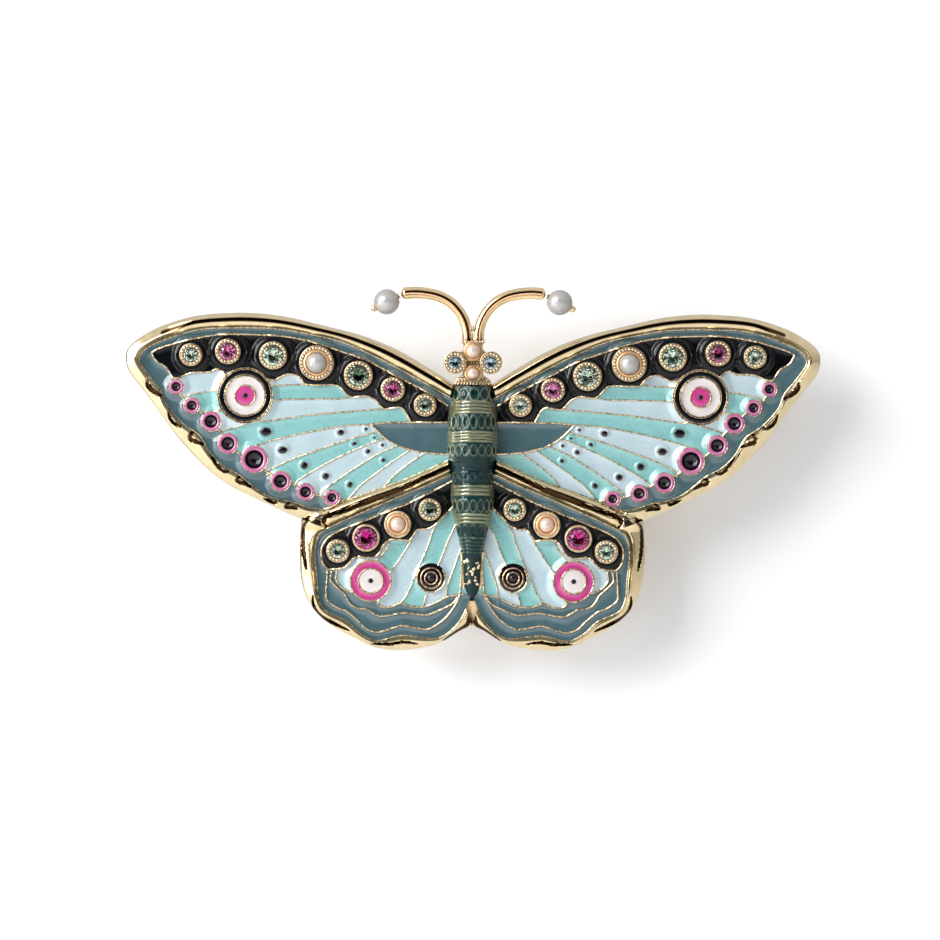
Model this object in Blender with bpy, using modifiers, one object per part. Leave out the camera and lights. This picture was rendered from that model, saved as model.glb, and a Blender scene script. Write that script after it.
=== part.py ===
"""A butterfly brooch with enamelled wings, set stones and a hinged pin on its back.

The brooch stands as it is worn: X runs along the wing span, Z is up and the front faces -Y. The origin is on the
back face of the wing casting, at the middle of the pin. Outlines are drawn in millimetres for the right half (+X).
"""

import math

import bmesh
import bpy
import numpy as np
from mathutils import Matrix

MM = 0.001

# Heights above the back face, towards the front.
PLATE = 1.2
SEAT = PLATE + 0.04
RIM = 3.0
BORDER_TOP = 2.0
BAND_TOP = 2.1
EYE_TOP = 2.45
CUP_RIM = 3.2
CUP_FLOOR = 1.6
STONE_TABLE = 3.5
TABLET = 0.3

# Facets round the cups and round the openings in the enamel.
CUP_SIDES = 14
HOLE_SIDES = 18

# Clearances between pieces that touch on the real brooch.
ENAMEL_INSET = 0.1
SETTING_GAP = 0.04
BODY_CHANNEL_GAP = 0.07

# The pin on the back: distances behind the back face are along +Y.
PIN_OFF_BACK = 5.0
HINGE_X = -20.0
CATCH_X = 20.5
STEM_RADIUS = 0.5
STEM_LENGTH = 43.5
STEM_TAPER = 9.0
EYE_RADIUS = 1.1
EYE_BORE = 0.46
EYE_HALF_WIDTH = 0.6
EAR_GAP = 0.65
EAR_THICKNESS = 0.7
EAR_RADIUS = 1.25
RIVET_RADIUS = 0.4
RIVET_HEAD = 0.75
RIVET_HEAD_HEIGHT = 0.3
FOOT_THICKNESS = 0.6
CHEEK_RADIUS = 1.8
CHEEK_THICKNESS = 0.6
CHEEK_BORE = 1.15
CHEEK_SPACE = 1.8
ROTOR_HUB = 1.09
ROTOR_FLANGE = 1.9
ROTOR_SLOT = 0.62
ROTOR_END_GAP = 0.08
LEVER_REACH = 3.1
LEVER_HALF_WIDTH = 0.45

# The head and its antennae.
HEAD_TOP = 2.3
ANTENNA_DEPTH = 2.6
HEADPIN_RADIUS = 0.25
PEARL_BORE = 0.35
ANTENNA_PEARL = (10.15, 16.15, 1.5)
HEADPIN_BALL = (11.62, 15.42, 0.42)
HEADPIN_BEHIND_PEARL = 1.72

# Outer edge of the casting, from the head along the forewing to the notch, and on to the tail.
TONGUE = [(0.0, 9.6), (1.0, 9.6), (1.1, 6.5)]
FORE_EDGE = [
    (2.3, 6.6), (5.0, 8.3), (9.0, 10.6), (13.0, 12.2), (17.3, 13.3), (22.0, 14.4), (26.0, 14.85), (29.4, 14.8),
    (33.0, 14.4), (36.6, 13.3), (38.9, 12.1), (40.5, 10.8), (40.9, 9.5), (40.4, 7.7), (38.6, 5.4), (36.6, 2.7),
    (34.8, 0.2), (33.0, -1.8), (31.2, -3.6), (28.6, -5.5), (25.8, -6.9), (22.0, -8.6), (20.1, -9.4),
]
HIND_EDGE = [
    (20.1, -9.4), (20.3, -12.8), (20.1, -16.6), (19.1, -19.4), (16.9, -21.7), (13.8, -23.4), (11.2, -24.55),
    (8.2, -24.8), (4.3, -24.15), (1.4, -22.5), (0.0, -21.9),
]

# Inner edges of the rims, which bound the enamel trays.
FORE_RIM_OF_BORDER = [
    (2.7, 5.0), (5.7, 6.6), (9.0, 8.3), (12.3, 9.9), (15.7, 11.1), (19.0, 12.0), (23.5, 12.85), (29.4, 13.0),
    (33.0, 12.7), (36.6, 11.5), (38.4, 10.6), (39.1, 9.7), (39.1, 8.8), (37.7, 6.85), (36.6, 5.5), (35.9, 3.8),
    (34.1, 1.8), (32.1, 0.4), (30.9, -1.6), (29.3, -3.2), (27.3, -4.3), (25.1, -6.1), (23.2, -7.0), (21.2, -7.4),
    (19.0, -8.1), (17.3, -8.2), (15.8, -7.6),
]
FORE_RIM_OF_FIELD = [(15.4, -7.4), (12.3, -6.25), (9.0, -5.1), (5.7, -3.7), (2.9, -2.45)]
HIND_RIM = [
    (2.6, -4.05), (5.8, -5.5), (8.9, -6.8), (11.2, -7.8), (13.5, -8.8), (15.8, -9.85), (17.1, -10.5),
    (18.1, -11.4), (18.5, -13.5), (18.2, -16.6), (18.1, -18.4), (17.3, -20.1), (14.8, -21.3), (13.4, -22.6),
    (12.1, -23.4), (10.9, -23.65), (8.5, -23.05), (7.2, -23.1), (4.6, -23.4), (3.2, -23.0), (1.9, -21.9),
    (1.1, -20.8), (0.7, -19.9),
]

# Lines between the enamels of the forewing.
BAND_UPPER = [
    (2.9, 4.0), (5.7, 5.75), (9.0, 7.45), (12.3, 9.2), (15.7, 10.4), (20.0, 11.7), (24.0, 12.2), (29.4, 12.25),
    (33.0, 11.7), (36.6, 10.7), (37.8, 10.1),
]
BAND_TIP = [(37.8, 10.1), (37.2, 9.1), (36.1, 8.4), (35.3, 7.2)]
BAND_LOWER_OUTER = [(35.3, 7.2), (34.5, 7.2), (33.0, 7.8), (31.0, 7.9), (29.8, 8.2)]
BAND_LOWER_INNER = [
    (23.9, 7.2), (22.8, 7.3), (21.0, 7.7), (20.0, 6.65), (18.6, 6.4), (16.0, 6.3), (14.7, 5.2), (12.3, 4.85),
    (10.8, 3.75), (8.6, 3.65), (7.4, 2.2),
]
BEAD_LINE = [
    (35.3, 7.2), (34.2, 4.9), (31.9, 3.15), (29.6, 0.85), (27.5, -1.75), (24.2, -3.85), (20.9, -5.4),
    (17.9, -6.85), (15.8, -7.3),
]
WEDGE_UPPER = [(3.15, 2.0), (7.4, 2.1), (11.9, 1.75)]
WEDGE_LOWER = [(11.9, 1.75), (10.2, 0.1), (8.0, -1.05), (5.7, -1.65), (3.15, -1.75)]

# Lines between the enamels of the hindwing.
HIND_BAND_UPPER = [
    (2.7, -5.0), (6.6, -7.2), (8.9, -8.1), (13.4, -9.85), (16.3, -11.1), (17.7, -12.5), (17.7, -14.1),
    (17.2, -15.1), (16.1, -15.5),
]
HIND_BAND_LOWER = [
    (16.1, -15.5), (14.8, -15.1), (13.9, -14.1), (12.8, -13.7), (11.2, -13.4), (9.7, -12.0), (7.5, -11.8),
    (6.8, -11.1), (4.5, -10.0), (2.75, -8.2),
]
FIELD_HEM_OUTER = [(16.1, -15.5), (15.5, -16.9), (14.8, -17.7), (12.6, -19.3)]
FIELD_HEM_INNER = [(11.2, -19.4), (9.2, -19.6), (8.0, -19.3), (5.7, -19.7), (4.3, -19.15), (1.6, -18.2)]
FIELD_AT_BODY = [(1.2, -17.2), (1.3, -14.5), (1.75, -12.0), (2.3, -10.0), (2.75, -8.2)]

# Half-width of the body at each height, from the head down to the tail.
BODY_WIDTHS = [
    (6.3, 2.3), (5.0, 2.5), (3.0, 2.9), (1.0, 3.05), (-1.5, 3.0), (-3.0, 2.65), (-5.0, 2.55), (-7.0, 2.6),
    (-8.5, 2.4), (-10.0, 2.05), (-12.0, 1.6), (-14.0, 1.2), (-16.0, 1.1), (-17.5, 0.95), (-18.5, 0.6), (-18.95, 0.2),
]
BODY_CROWN = 1.4
BODY_STATION_STEP = 2

# Set stones from the body outwards: name, x, z, radius of the cup, radius of the stone, kind.
FORE_STONES = [
    ("fore_crystal_1", 5.6, 4.05, 1.33, 0.75, "green_crystal"),
    ("fore_crystal_2", 9.4, 5.9, 1.42, 0.95, "pink_crystal"),
    ("fore_crystal_3", 13.45, 7.5, 1.7, 1.2, "green_crystal"),
    ("fore_pearl", 18.3, 8.9, 2.05, 1.3, "pearl"),
    ("fore_crystal_4", 23.45, 9.8, 1.65, 1.17, "green_crystal"),
    ("fore_crystal_5", 28.75, 10.25, 1.5, 1.0, "pink_crystal"),
    ("fore_crystal_6", 33.1, 9.85, 1.35, 0.8, "green_crystal"),
]
HIND_STONES = [
    ("hind_crystal_1", 4.98, -8.2, 1.33, 0.8, "green_crystal"),
    ("hind_pearl", 8.75, -9.95, 1.6, 1.0, "pearl"),
    ("hind_crystal_2", 12.45, -11.55, 1.62, 1.3, "fuchsia_crystal"),
    ("hind_crystal_3", 15.75, -13.1, 1.38, 0.85, "green_crystal"),
]
HEAD_PEARLS = [("head_pearl_upper", 0.0, 10.4, 1.05, 0.9), ("head_pearl_lower", 0.0, 7.75, 0.95, 0.75)]
HEAD_CRYSTAL = (2.1, 9.05, 1.33, 0.72)
FORE_EYE = (26.8, 5.05, 3.4)
HIND_EYE = (11.8, -16.6, 2.52)

# Half outline of the head's back plate, from the body up to the antenna sockets.
HEAD_OUTLINE = [
    (2.2, 6.42), (2.1, 6.95), (1.35, 7.5), (1.25, 8.2), (2.2, 8.4), (2.2, 9.7), (1.2, 9.9), (1.25, 11.5),
]
ANTENNA_LINE = [(0.66, 11.58), (0.7, 12.7), (1.05, 14.0), (1.75, 15.2), (2.85, 16.25), (4.4, 16.95), (6.6, 17.25),
                (8.5, 17.1)]
ANTENNA_RADII = (0.6, 0.75)

MATERIALS = {
    "gold": ((0.83, 0.62, 0.33), 0.16, 1.0),
    "enamel_border": ((0.075, 0.15, 0.18), 0.14, 0.0),
    "enamel_black": ((0.006, 0.006, 0.009), 0.1, 0.0),
    "enamel_field": ((0.22, 0.6, 0.58), 0.16, 0.0),
    "enamel_eye": ((0.75, 0.18, 0.42), 0.15, 0.0),
    "enamel_body": ((0.03, 0.11, 0.11), 0.1, 0.0),
    "pearl": ((0.87, 0.77, 0.68), 0.22, 0.0),
    "green_crystal": ((0.42, 0.6, 0.42), 0.05, 0.0),
    "pink_crystal": ((0.62, 0.03, 0.2), 0.05, 0.0),
    "fuchsia_crystal": ((0.34, 0.005, 0.09), 0.05, 0.0),
    "blue_crystal": ((0.25, 0.42, 0.55), 0.05, 0.0),
}

# Turns a shape drawn flat, with its height along local Z, to face the front, the side or the back.
FRONT = Matrix.Rotation(math.radians(90), 4, "X")
SIDEWAYS = Matrix(((0, 0, 1, 0), (1, 0, 0, 0), (0, 1, 0, 0), (0, 0, 0, 1)))
UPRIGHT = Matrix.Identity(4)


def clear_scene():
    for obj in list(bpy.data.objects):
        bpy.data.objects.remove(obj)


def collection(name, hidden=False):
    made = bpy.data.collections.new(name)
    made.hide_render = hidden
    bpy.context.scene.collection.children.link(made)
    return made


clear_scene()
PARTS = collection("butterfly_brooch")
CUTTERS = collection("cutters", hidden=True)


def material(name):
    if name in bpy.data.materials:
        return bpy.data.materials[name]
    colour, roughness, metallic = MATERIALS[name]
    made = bpy.data.materials.new(name)
    made.use_nodes = True
    shader = made.node_tree.nodes["Principled BSDF"]
    shader.inputs["Base Color"].default_value = (*colour, 1)
    shader.inputs["Roughness"].default_value = roughness
    shader.inputs["Metallic"].default_value = metallic
    return made


# Outlines


def smooth(points, steps=2):
    """The Catmull-Rom curve through the points, with this many steps from each to the next."""
    ends = [2 * np.array(points[0]) - points[1], 2 * np.array(points[-1]) - points[-2]]
    p = np.array([ends[0], *points, ends[1]], float)
    run = []
    for i in range(1, len(p) - 2):
        for t in np.arange(steps) / steps:
            run.append(0.5 * (2 * p[i] + (p[i + 1] - p[i - 1]) * t
                              + (2 * p[i - 1] - 5 * p[i] + 4 * p[i + 1] - p[i + 2]) * t**2
                              + (3 * p[i] - p[i - 1] - 3 * p[i + 1] + p[i + 2]) * t**3))
    return [tuple(point) for point in run] + [tuple(points[-1])]


def joined(*runs):
    """One closed outline from runs that follow each other, without the points they share."""
    outline = []
    for point in (point for run in runs for point in run):
        if not outline or math.dist(point, outline[-1]) > 0.05:
            outline.append(point)
    return outline[:-1] if math.dist(outline[0], outline[-1]) < 0.05 else outline


def back(points):
    return list(reversed(points))


def mirrored(points):
    return [(-x, z) for x, z in back(points)]


def inset(outline, distance):
    """The closed outline moved inwards by a distance, or outwards by a negative one."""
    points = np.array(outline)
    ahead = np.roll(points, -1, axis=0) - points
    ahead /= np.linalg.norm(ahead, axis=1)[:, None]
    area = np.sum(points[:, 0] * np.roll(points[:, 1], -1) - np.roll(points[:, 0], -1) * points[:, 1])
    normals = np.stack([-ahead[:, 1], ahead[:, 0]], axis=1) * np.sign(area)
    corner = normals + np.roll(normals, 1, axis=0)
    corner /= np.maximum(np.sum(corner * corner, axis=1) / 2, 0.6)[:, None]
    return [tuple(point) for point in points + corner * distance]


def arc(radius, start, end, steps, centre=(0, 0)):
    """Points on a circle between two angles in degrees."""
    angles = np.radians(np.linspace(start, end, steps + 1))
    return [(centre[0] + radius * math.cos(a), centre[1] + radius * math.sin(a)) for a in angles]


# Solids


def place(obj, group, finish=None):
    group.objects.link(obj)
    if finish:
        obj.data.materials.append(material(finish))
    if group is CUTTERS:
        obj.hide_render = True
        obj.display_type = "WIRE"
    return obj


def as_mesh(holder, group, finish=None):
    """A mesh object in place of a curve object or of one with modifiers, closed and facing out."""
    bpy.context.scene.collection.objects.link(holder)
    bpy.context.view_layer.update()
    mesh = bpy.data.meshes.new_from_object(holder.evaluated_get(bpy.context.evaluated_depsgraph_get()))
    work = bmesh.new()
    work.from_mesh(mesh)
    bmesh.ops.remove_doubles(work, verts=work.verts, dist=1e-6)
    bmesh.ops.recalc_face_normals(work, faces=work.faces)
    work.to_mesh(mesh)
    work.free()
    made = bpy.data.objects.new(holder.name, mesh)
    made.matrix_world = holder.matrix_world
    name = holder.name
    bpy.data.objects.remove(holder)
    made.name = name
    return place(made, group, finish)


def slab(name, outlines, low, high, group=None, finish=None, turn=FRONT, at=(0, 0, 0)):
    """A flat plate with these outlines, from one height to another along its normal."""
    curve = bpy.data.curves.new(name, "CURVE")
    curve.dimensions = "2D"
    curve.fill_mode = "BOTH"
    curve.extrude = (high - low) / 2 * MM
    for outline in outlines:
        spline = curve.splines.new("POLY")
        spline.points.add(len(outline) - 1)
        for point, (u, v) in zip(spline.points, outline):
            point.co = (u * MM, v * MM, 0, 1)
        spline.use_cyclic_u = True
    holder = bpy.data.objects.new(name, curve)
    middle = Matrix.Translation((0, 0, (low + high) / 2 * MM))
    holder.matrix_world = Matrix.Translation([v * MM for v in at]) @ turn @ middle
    return as_mesh(holder, group or CUTTERS, finish)


def turned(name, profile, segments, group=None, finish=None, turn=FRONT, at=(0, 0, 0), closed=False):
    """A solid of revolution about local Z. The profile of (radius, height) runs down its outer side."""
    mesh = bpy.data.meshes.new(name)
    edges = [(i, i + 1) for i in range(len(profile) - 1)]
    if closed:
        edges.append((len(profile) - 1, 0))
    mesh.from_pydata([(r * MM, 0, h * MM) for r, h in profile], edges, [])
    holder = bpy.data.objects.new(name, mesh)
    holder.matrix_world = Matrix.Translation([v * MM for v in at]) @ turn
    screw = holder.modifiers.new("turn", "SCREW")
    screw.axis = "Z"
    screw.steps = segments
    screw.render_steps = segments
    screw.use_merge_vertices = True
    screw.merge_threshold = 1e-6
    return as_mesh(holder, group or CUTTERS, finish)


def combine(obj, operation, *others):
    for other in others:
        boolean = obj.modifiers.new(f"{operation.lower()}_{other.name}", "BOOLEAN")
        boolean.operation = operation
        boolean.object = other
    return obj


def merged(name, objects):
    """Several helper solids that stand apart, as one cutter."""
    work = bmesh.new()
    for obj in objects:
        mesh = obj.data.copy()
        mesh.transform(obj.matrix_world)
        work.from_mesh(mesh)
        bpy.data.objects.remove(obj)
    mesh = bpy.data.meshes.new(name)
    work.to_mesh(mesh)
    work.free()
    return place(bpy.data.objects.new(name, mesh), CUTTERS)


def round_off(obj):
    obj.data.shade_smooth()
    obj.data.set_sharp_from_angle(angle=math.radians(35))


SIDES = {"left": -1, "right": 1}


def sided(outline, side):
    return mirrored(outline) if SIDES[side] < 0 else list(outline)


def cup(name, x, z, outer, inner, low, floor, rim):
    profile = [(0, floor), (inner, floor), (inner, rim), (outer, rim), (outer, low), (0, low)]
    return turned(name, profile, CUP_SIDES, at=(x, 0, z))


def cylinder(name, x, z, radius, low, high):
    return turned(name, [(0, high), (radius, high), (radius, low), (0, low)], HOLE_SIDES, at=(x, 0, z))


# Wings


def fore_tray():
    rim = smooth(FORE_RIM_OF_BORDER) + smooth(FORE_RIM_OF_FIELD)
    return joined(rim, [(1.5, -2.0), (1.5, 5.0)])


def hind_tray():
    return joined(smooth(HIND_RIM), [(0.25, -18.5), (0.25, -12.0), (1.5, -4.3)])


def body_outline(extra):
    stations = [(width + extra, z) for z, width in smooth(BODY_WIDTHS)]
    return stations


def body_channel():
    right = [(2.5, 10.0)] + body_outline(BODY_CHANNEL_GAP)
    tip = (0.0, BODY_WIDTHS[-1][0] - BODY_CHANNEL_GAP)
    return joined(right, [tip], mirrored(right))


def wing_stones():
    return FORE_STONES + HIND_STONES


def wing_casting():
    half = joined(TONGUE, smooth(FORE_EDGE), smooth(HIND_EDGE))
    whole = joined(half, mirrored(half))
    casting = slab("wing_casting", [whole], 0, RIM, PARTS, "gold")
    for side, sign in SIDES.items():
        trays = [("fore_tray", fore_tray()), ("hind_tray", hind_tray())]
        for name, outline in trays:
            combine(casting, "DIFFERENCE", slab(f"{name}_{side}", [sided(outline, side)], PLATE, RIM + 1))
        cups = [
            cup("cup", sign * x, z, outer, inner + SETTING_GAP, PLATE - 0.3, CUP_FLOOR, CUP_RIM)
            for _, x, z, outer, inner, _ in wing_stones()
        ]
        combine(casting, "UNION", merged(f"cups_{side}", cups))
    channel = slab("body_channel", [body_channel()], PLATE, RIM + 1)
    combine(casting, "DIFFERENCE", channel)
    tablet = joined(arc(2.0, -90, 90, 8, (2.0, -12.5)), arc(2.0, 90, 270, 8, (-2.0, -12.5)))
    combine(casting, "UNION", slab("tablet", [tablet], -TABLET, 0.3))
    return casting


def enamel(name, side, outline, top, holes, finish):
    """A panel of enamel in its tray, open round the cups and the eye that rise through it."""
    panel = slab(f"{name}_{side}", [inset(sided(outline, side), ENAMEL_INSET)], SEAT, top, PARTS, finish)
    cutters = [
        cylinder("hole", SIDES[side] * x, z, radius + SETTING_GAP, SEAT - 0.2, top + 0.5) for x, z, radius in holes
    ]
    if cutters:
        combine(panel, "DIFFERENCE", merged(f"holes_{name}_{side}", cutters))
    return panel


def fore_enamels(side):
    tip = smooth(BAND_TIP)
    upper = smooth(BAND_UPPER)
    beads = smooth(BEAD_LINE)
    lower = smooth(BAND_LOWER_OUTER) + smooth(BAND_LOWER_INNER)
    cups = [(x, z, radius) for _, x, z, radius, _, _ in FORE_STONES]
    border = joined(smooth(FORE_RIM_OF_BORDER), back(beads), back(tip), back(upper))
    band = joined(upper, tip, lower, [(3.15, 2.12)])
    wedge = joined(smooth(WEDGE_UPPER), smooth(WEDGE_LOWER))
    field = joined(back(lower), beads, smooth(FORE_RIM_OF_FIELD), [(3.1, -1.9)], back(smooth(WEDGE_LOWER)),
                   back(smooth(WEDGE_UPPER))[:-2])
    enamel("fore_enamel_border", side, border, BORDER_TOP, [], "enamel_border")
    enamel("fore_enamel_band", side, band, BAND_TOP, [*cups, FORE_EYE], "enamel_black")
    enamel("fore_enamel_field", side, field, BORDER_TOP, [FORE_EYE], "enamel_field")
    enamel("fore_enamel_wedge", side, wedge, BORDER_TOP, [], "enamel_border")


def hind_enamels(side):
    upper = smooth(HIND_BAND_UPPER)
    lower = smooth(HIND_BAND_LOWER)
    hem = smooth(FIELD_HEM_OUTER) + smooth(FIELD_HEM_INNER)
    cups = [(x, z, radius) for _, x, z, radius, _, _ in HIND_STONES]
    border = joined(smooth(HIND_RIM), [(0.85, -18.9), (1.3, -18.4)], back(hem), back(upper))
    band = joined(upper, lower)
    field = joined(hem, smooth(FIELD_AT_BODY), back(lower))
    enamel("hind_enamel_border", side, border, BORDER_TOP, [HIND_EYE], "enamel_border")
    enamel("hind_enamel_band", side, band, BAND_TOP, cups, "enamel_black")
    enamel("hind_enamel_field", side, field, BORDER_TOP, [HIND_EYE], "enamel_field")


def eye_boss(name, x, z, radius):
    """A low domed disc of ringed enamel."""
    profile = [(0, EYE_TOP), (radius * 0.6, EYE_TOP - 0.1), (radius, EYE_TOP - 0.35), (radius, SEAT), (0, SEAT)]
    round_off(turned(name, profile, 28, PARTS, "enamel_eye", at=(x, 0, z)))


def crystal(name, x, z, radius, table, finish):
    """A round brilliant: a flat table, a crown, a thin girdle and a pavilion down to its point."""
    girdle = table - 0.32 * radius
    profile = [
        (0, table), (0.58 * radius, table), (radius, girdle), (radius, girdle - 0.06), (0, girdle - 0.95 * radius),
    ]
    return turned(name, profile, 12, PARTS, finish, at=(x, 0, z))


def pearl(name, x, z, radius, height):
    work = bmesh.new()
    bmesh.ops.create_uvsphere(work, u_segments=14, v_segments=8, radius=radius * MM)
    mesh = bpy.data.meshes.new(name)
    work.to_mesh(mesh)
    work.free()
    sphere = place(bpy.data.objects.new(name, mesh), PARTS, "pearl")
    sphere.matrix_world = Matrix.Translation((x * MM, -height * MM, z * MM)) @ FRONT
    sphere.data.shade_smooth()


def set_stones(side):
    for name, x, z, _, radius, kind in wing_stones():
        if kind == "pearl":
            pearl(f"{name}_{side}", SIDES[side] * x, z, radius, CUP_FLOOR + SETTING_GAP + radius)
        else:
            crystal(f"{name}_{side}", SIDES[side] * x, z, radius, STONE_TABLE, kind)


# Body and head


def body():
    """The domed body: half-ellipse sections on a flat back, lofted from the neck to the tail."""
    work = bmesh.new()
    rings = []
    for z, width in smooth(BODY_WIDTHS, BODY_STATION_STEP):
        ring = []
        for angle in np.linspace(0, math.pi, 11):
            height = SEAT + width * BODY_CROWN * math.sin(angle)
            ring.append(work.verts.new((width * math.cos(angle) * MM, -height * MM, z * MM)))
        rings.append(ring)
    for upper, lower in zip(rings, rings[1:]):
        for i in range(len(upper)):
            j = (i + 1) % len(upper)
            work.faces.new((upper[i], upper[j], lower[j], lower[i]))
    work.faces.new(rings[0])
    work.faces.new(rings[-1])
    bmesh.ops.recalc_face_normals(work, faces=work.faces)
    mesh = bpy.data.meshes.new("body")
    work.to_mesh(mesh)
    work.free()
    round_off(place(bpy.data.objects.new("body", mesh), PARTS, "enamel_body"))


def head():
    outline = joined(HEAD_OUTLINE, mirrored(HEAD_OUTLINE))
    setting = slab("head_setting", [outline], SEAT, HEAD_TOP, PARTS, "gold")
    x, z, outer, inner = HEAD_CRYSTAL
    for side, sign in SIDES.items():
        holder = cup(f"head_cup_{side}", sign * x, z, outer, inner + SETTING_GAP, HEAD_TOP - 0.5, 2.6, 3.7)
        combine(setting, "UNION", holder)
        crystal(f"head_crystal_{side}", sign * x, z, inner, 3.95, "blue_crystal")
    for name, x, z, outer, radius in HEAD_PEARLS:
        combine(setting, "UNION", cup(f"{name}_cup", x, z, outer, radius + SETTING_GAP, HEAD_TOP - 0.5, 2.6, 3.3))
        pearl(name, x, z, radius, 2.6 + SETTING_GAP + radius)
    collar = [(-1.3, 11.36), (1.3, 11.36), (1.3, 11.5), (-1.3, 11.5)]
    combine(setting, "UNION", slab("antenna_collar", [collar], HEAD_TOP - 0.4, 3.3))


def tube(name, points, radii, depth, finish):
    curve = bpy.data.curves.new(name, "CURVE")
    curve.dimensions = "3D"
    curve.bevel_depth = 1 * MM
    curve.bevel_resolution = 2
    curve.use_fill_caps = True
    spline = curve.splines.new("POLY")
    spline.points.add(len(points) - 1)
    for point, (x, z), radius in zip(spline.points, points, radii):
        point.co = (x * MM, -depth * MM, z * MM, 1)
        point.radius = radius
    return as_mesh(bpy.data.objects.new(name, curve), PARTS, finish)


def antenna(side):
    line = [(SIDES[side] * x, z) for x, z in smooth(ANTENNA_LINE)]
    radii = np.linspace(*ANTENNA_RADII, len(line))
    round_off(tube(f"antenna_{side}", line, radii, ANTENNA_DEPTH, "gold"))


def antenna_tip(side):
    """A pearl that turns on a ball-ended pin. Local Z runs along the pin, from the antenna outwards."""
    x, z, radius = ANTENNA_PEARL
    ball_x, ball_z, ball = HEADPIN_BALL
    reach = math.hypot(ball_x - x, ball_z - z)
    tilt = math.atan2(ball_z - z, ball_x - x)
    along = math.pi / 2 - tilt if SIDES[side] > 0 else tilt - math.pi / 2
    turn = Matrix.Rotation(along, 4, "Y")
    centre = (SIDES[side] * x, -ANTENNA_DEPTH, z)
    edge = math.degrees(math.asin(PEARL_BORE / radius))
    outside = [(r, h) for h, r in arc(radius, edge, 180 - edge, 10)]
    pearl_mesh = turned(f"antenna_pearl_{side}", outside, 14, PARTS, "pearl", turn, centre, closed=True)
    round_off(pearl_mesh)
    neck = math.degrees(math.asin(HEADPIN_RADIUS / ball))
    end = [(r, reach + h) for h, r in arc(ball, 0, 180 - neck, 6)]
    profile = [*end, (HEADPIN_RADIUS, -HEADPIN_BEHIND_PEARL), (0, -HEADPIN_BEHIND_PEARL)]
    round_off(turned(f"antenna_headpin_{side}", profile, 12, PARTS, "gold", turn, centre))


# Pin


def ear(name, low, high):
    outline = joined([(EAR_RADIUS, -PIN_OFF_BACK + 0.3)], arc(EAR_RADIUS, 0, 180, 12),
                     [(-EAR_RADIUS, -PIN_OFF_BACK + 0.3)])
    hole = arc(RIVET_RADIUS + 0.05, 0, 345, 23)
    return slab(name, [outline, hole], low, high, turn=UPRIGHT, at=(HINGE_X, PIN_OFF_BACK, 0))


def foot(name, x, half_x, half_z, finish="gold"):
    corners = [(half_x - 0.6, half_z - 0.6, 0), (0.6 - half_x, half_z - 0.6, 90), (0.6 - half_x, 0.6 - half_z, 180),
               (half_x - 0.6, 0.6 - half_z, 270)]
    outline = joined(*[arc(0.6, start, start + 90, 3, (u, v)) for u, v, start in corners])
    low = -(FOOT_THICKNESS + SETTING_GAP)
    return slab(name, [outline], low, -SETTING_GAP, PARTS, finish, at=(x, 0, 0))


def pin_joint():
    bracket = foot("pin_joint", HINGE_X, 2.6, 2.0)
    outer = EAR_GAP + EAR_THICKNESS
    combine(bracket, "UNION", ear("ear_upper", EAR_GAP, outer), ear("ear_lower", -outer, -EAR_GAP))
    head_low = outer + 0.04
    head_high = head_low + RIVET_HEAD_HEIGHT
    profile = [
        (0, head_high), (RIVET_HEAD * 0.7, head_high), (RIVET_HEAD, head_low + 0.1), (RIVET_HEAD, head_low),
        (RIVET_RADIUS, head_low), (RIVET_RADIUS, -head_low), (RIVET_HEAD, -head_low),
        (RIVET_HEAD, -head_low - 0.1), (RIVET_HEAD * 0.7, -head_high), (0, -head_high),
    ]
    turned("pin_joint_rivet", profile, 20, PARTS, "gold", UPRIGHT, (HINGE_X, PIN_OFF_BACK, 0))


def pin_stem():
    """The stem, with its origin on the rivet's axis: an eye round the rivet and a wire to a point."""
    axis = (HINGE_X, PIN_OFF_BACK, 0)
    ring = [(EYE_BORE, EYE_HALF_WIDTH), (EYE_RADIUS, EYE_HALF_WIDTH), (EYE_RADIUS, -EYE_HALF_WIDTH),
            (EYE_BORE, -EYE_HALF_WIDTH)]
    eye = turned("pin_stem", ring, 24, PARTS, "gold", UPRIGHT, axis, closed=True)
    start = EYE_RADIUS - 0.3
    tip = STEM_LENGTH - STEM_TAPER
    profile = [(0, STEM_LENGTH), (0.07, STEM_LENGTH - 0.1), (0.25, STEM_LENGTH - STEM_TAPER / 3),
               (STEM_RADIUS * 0.88, tip), (STEM_RADIUS, tip - 3), (STEM_RADIUS, start), (0, start)]
    wire = turned("stem_wire", profile, 12, turn=Matrix.Rotation(math.radians(90), 4, "Y"), at=axis)
    combine(eye, "UNION", wire)


def c_section(outer, bore, slot):
    """A ring cut open towards the back. The drawing's U is +Y and its V is +Z."""
    gap = math.degrees(math.asin(slot / outer))
    mouth = math.degrees(math.asin(min(1.0, slot / bore)))
    return joined(arc(outer, gap, 360 - gap, 28), arc(bore, 360 - mouth, mouth, 20))


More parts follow.
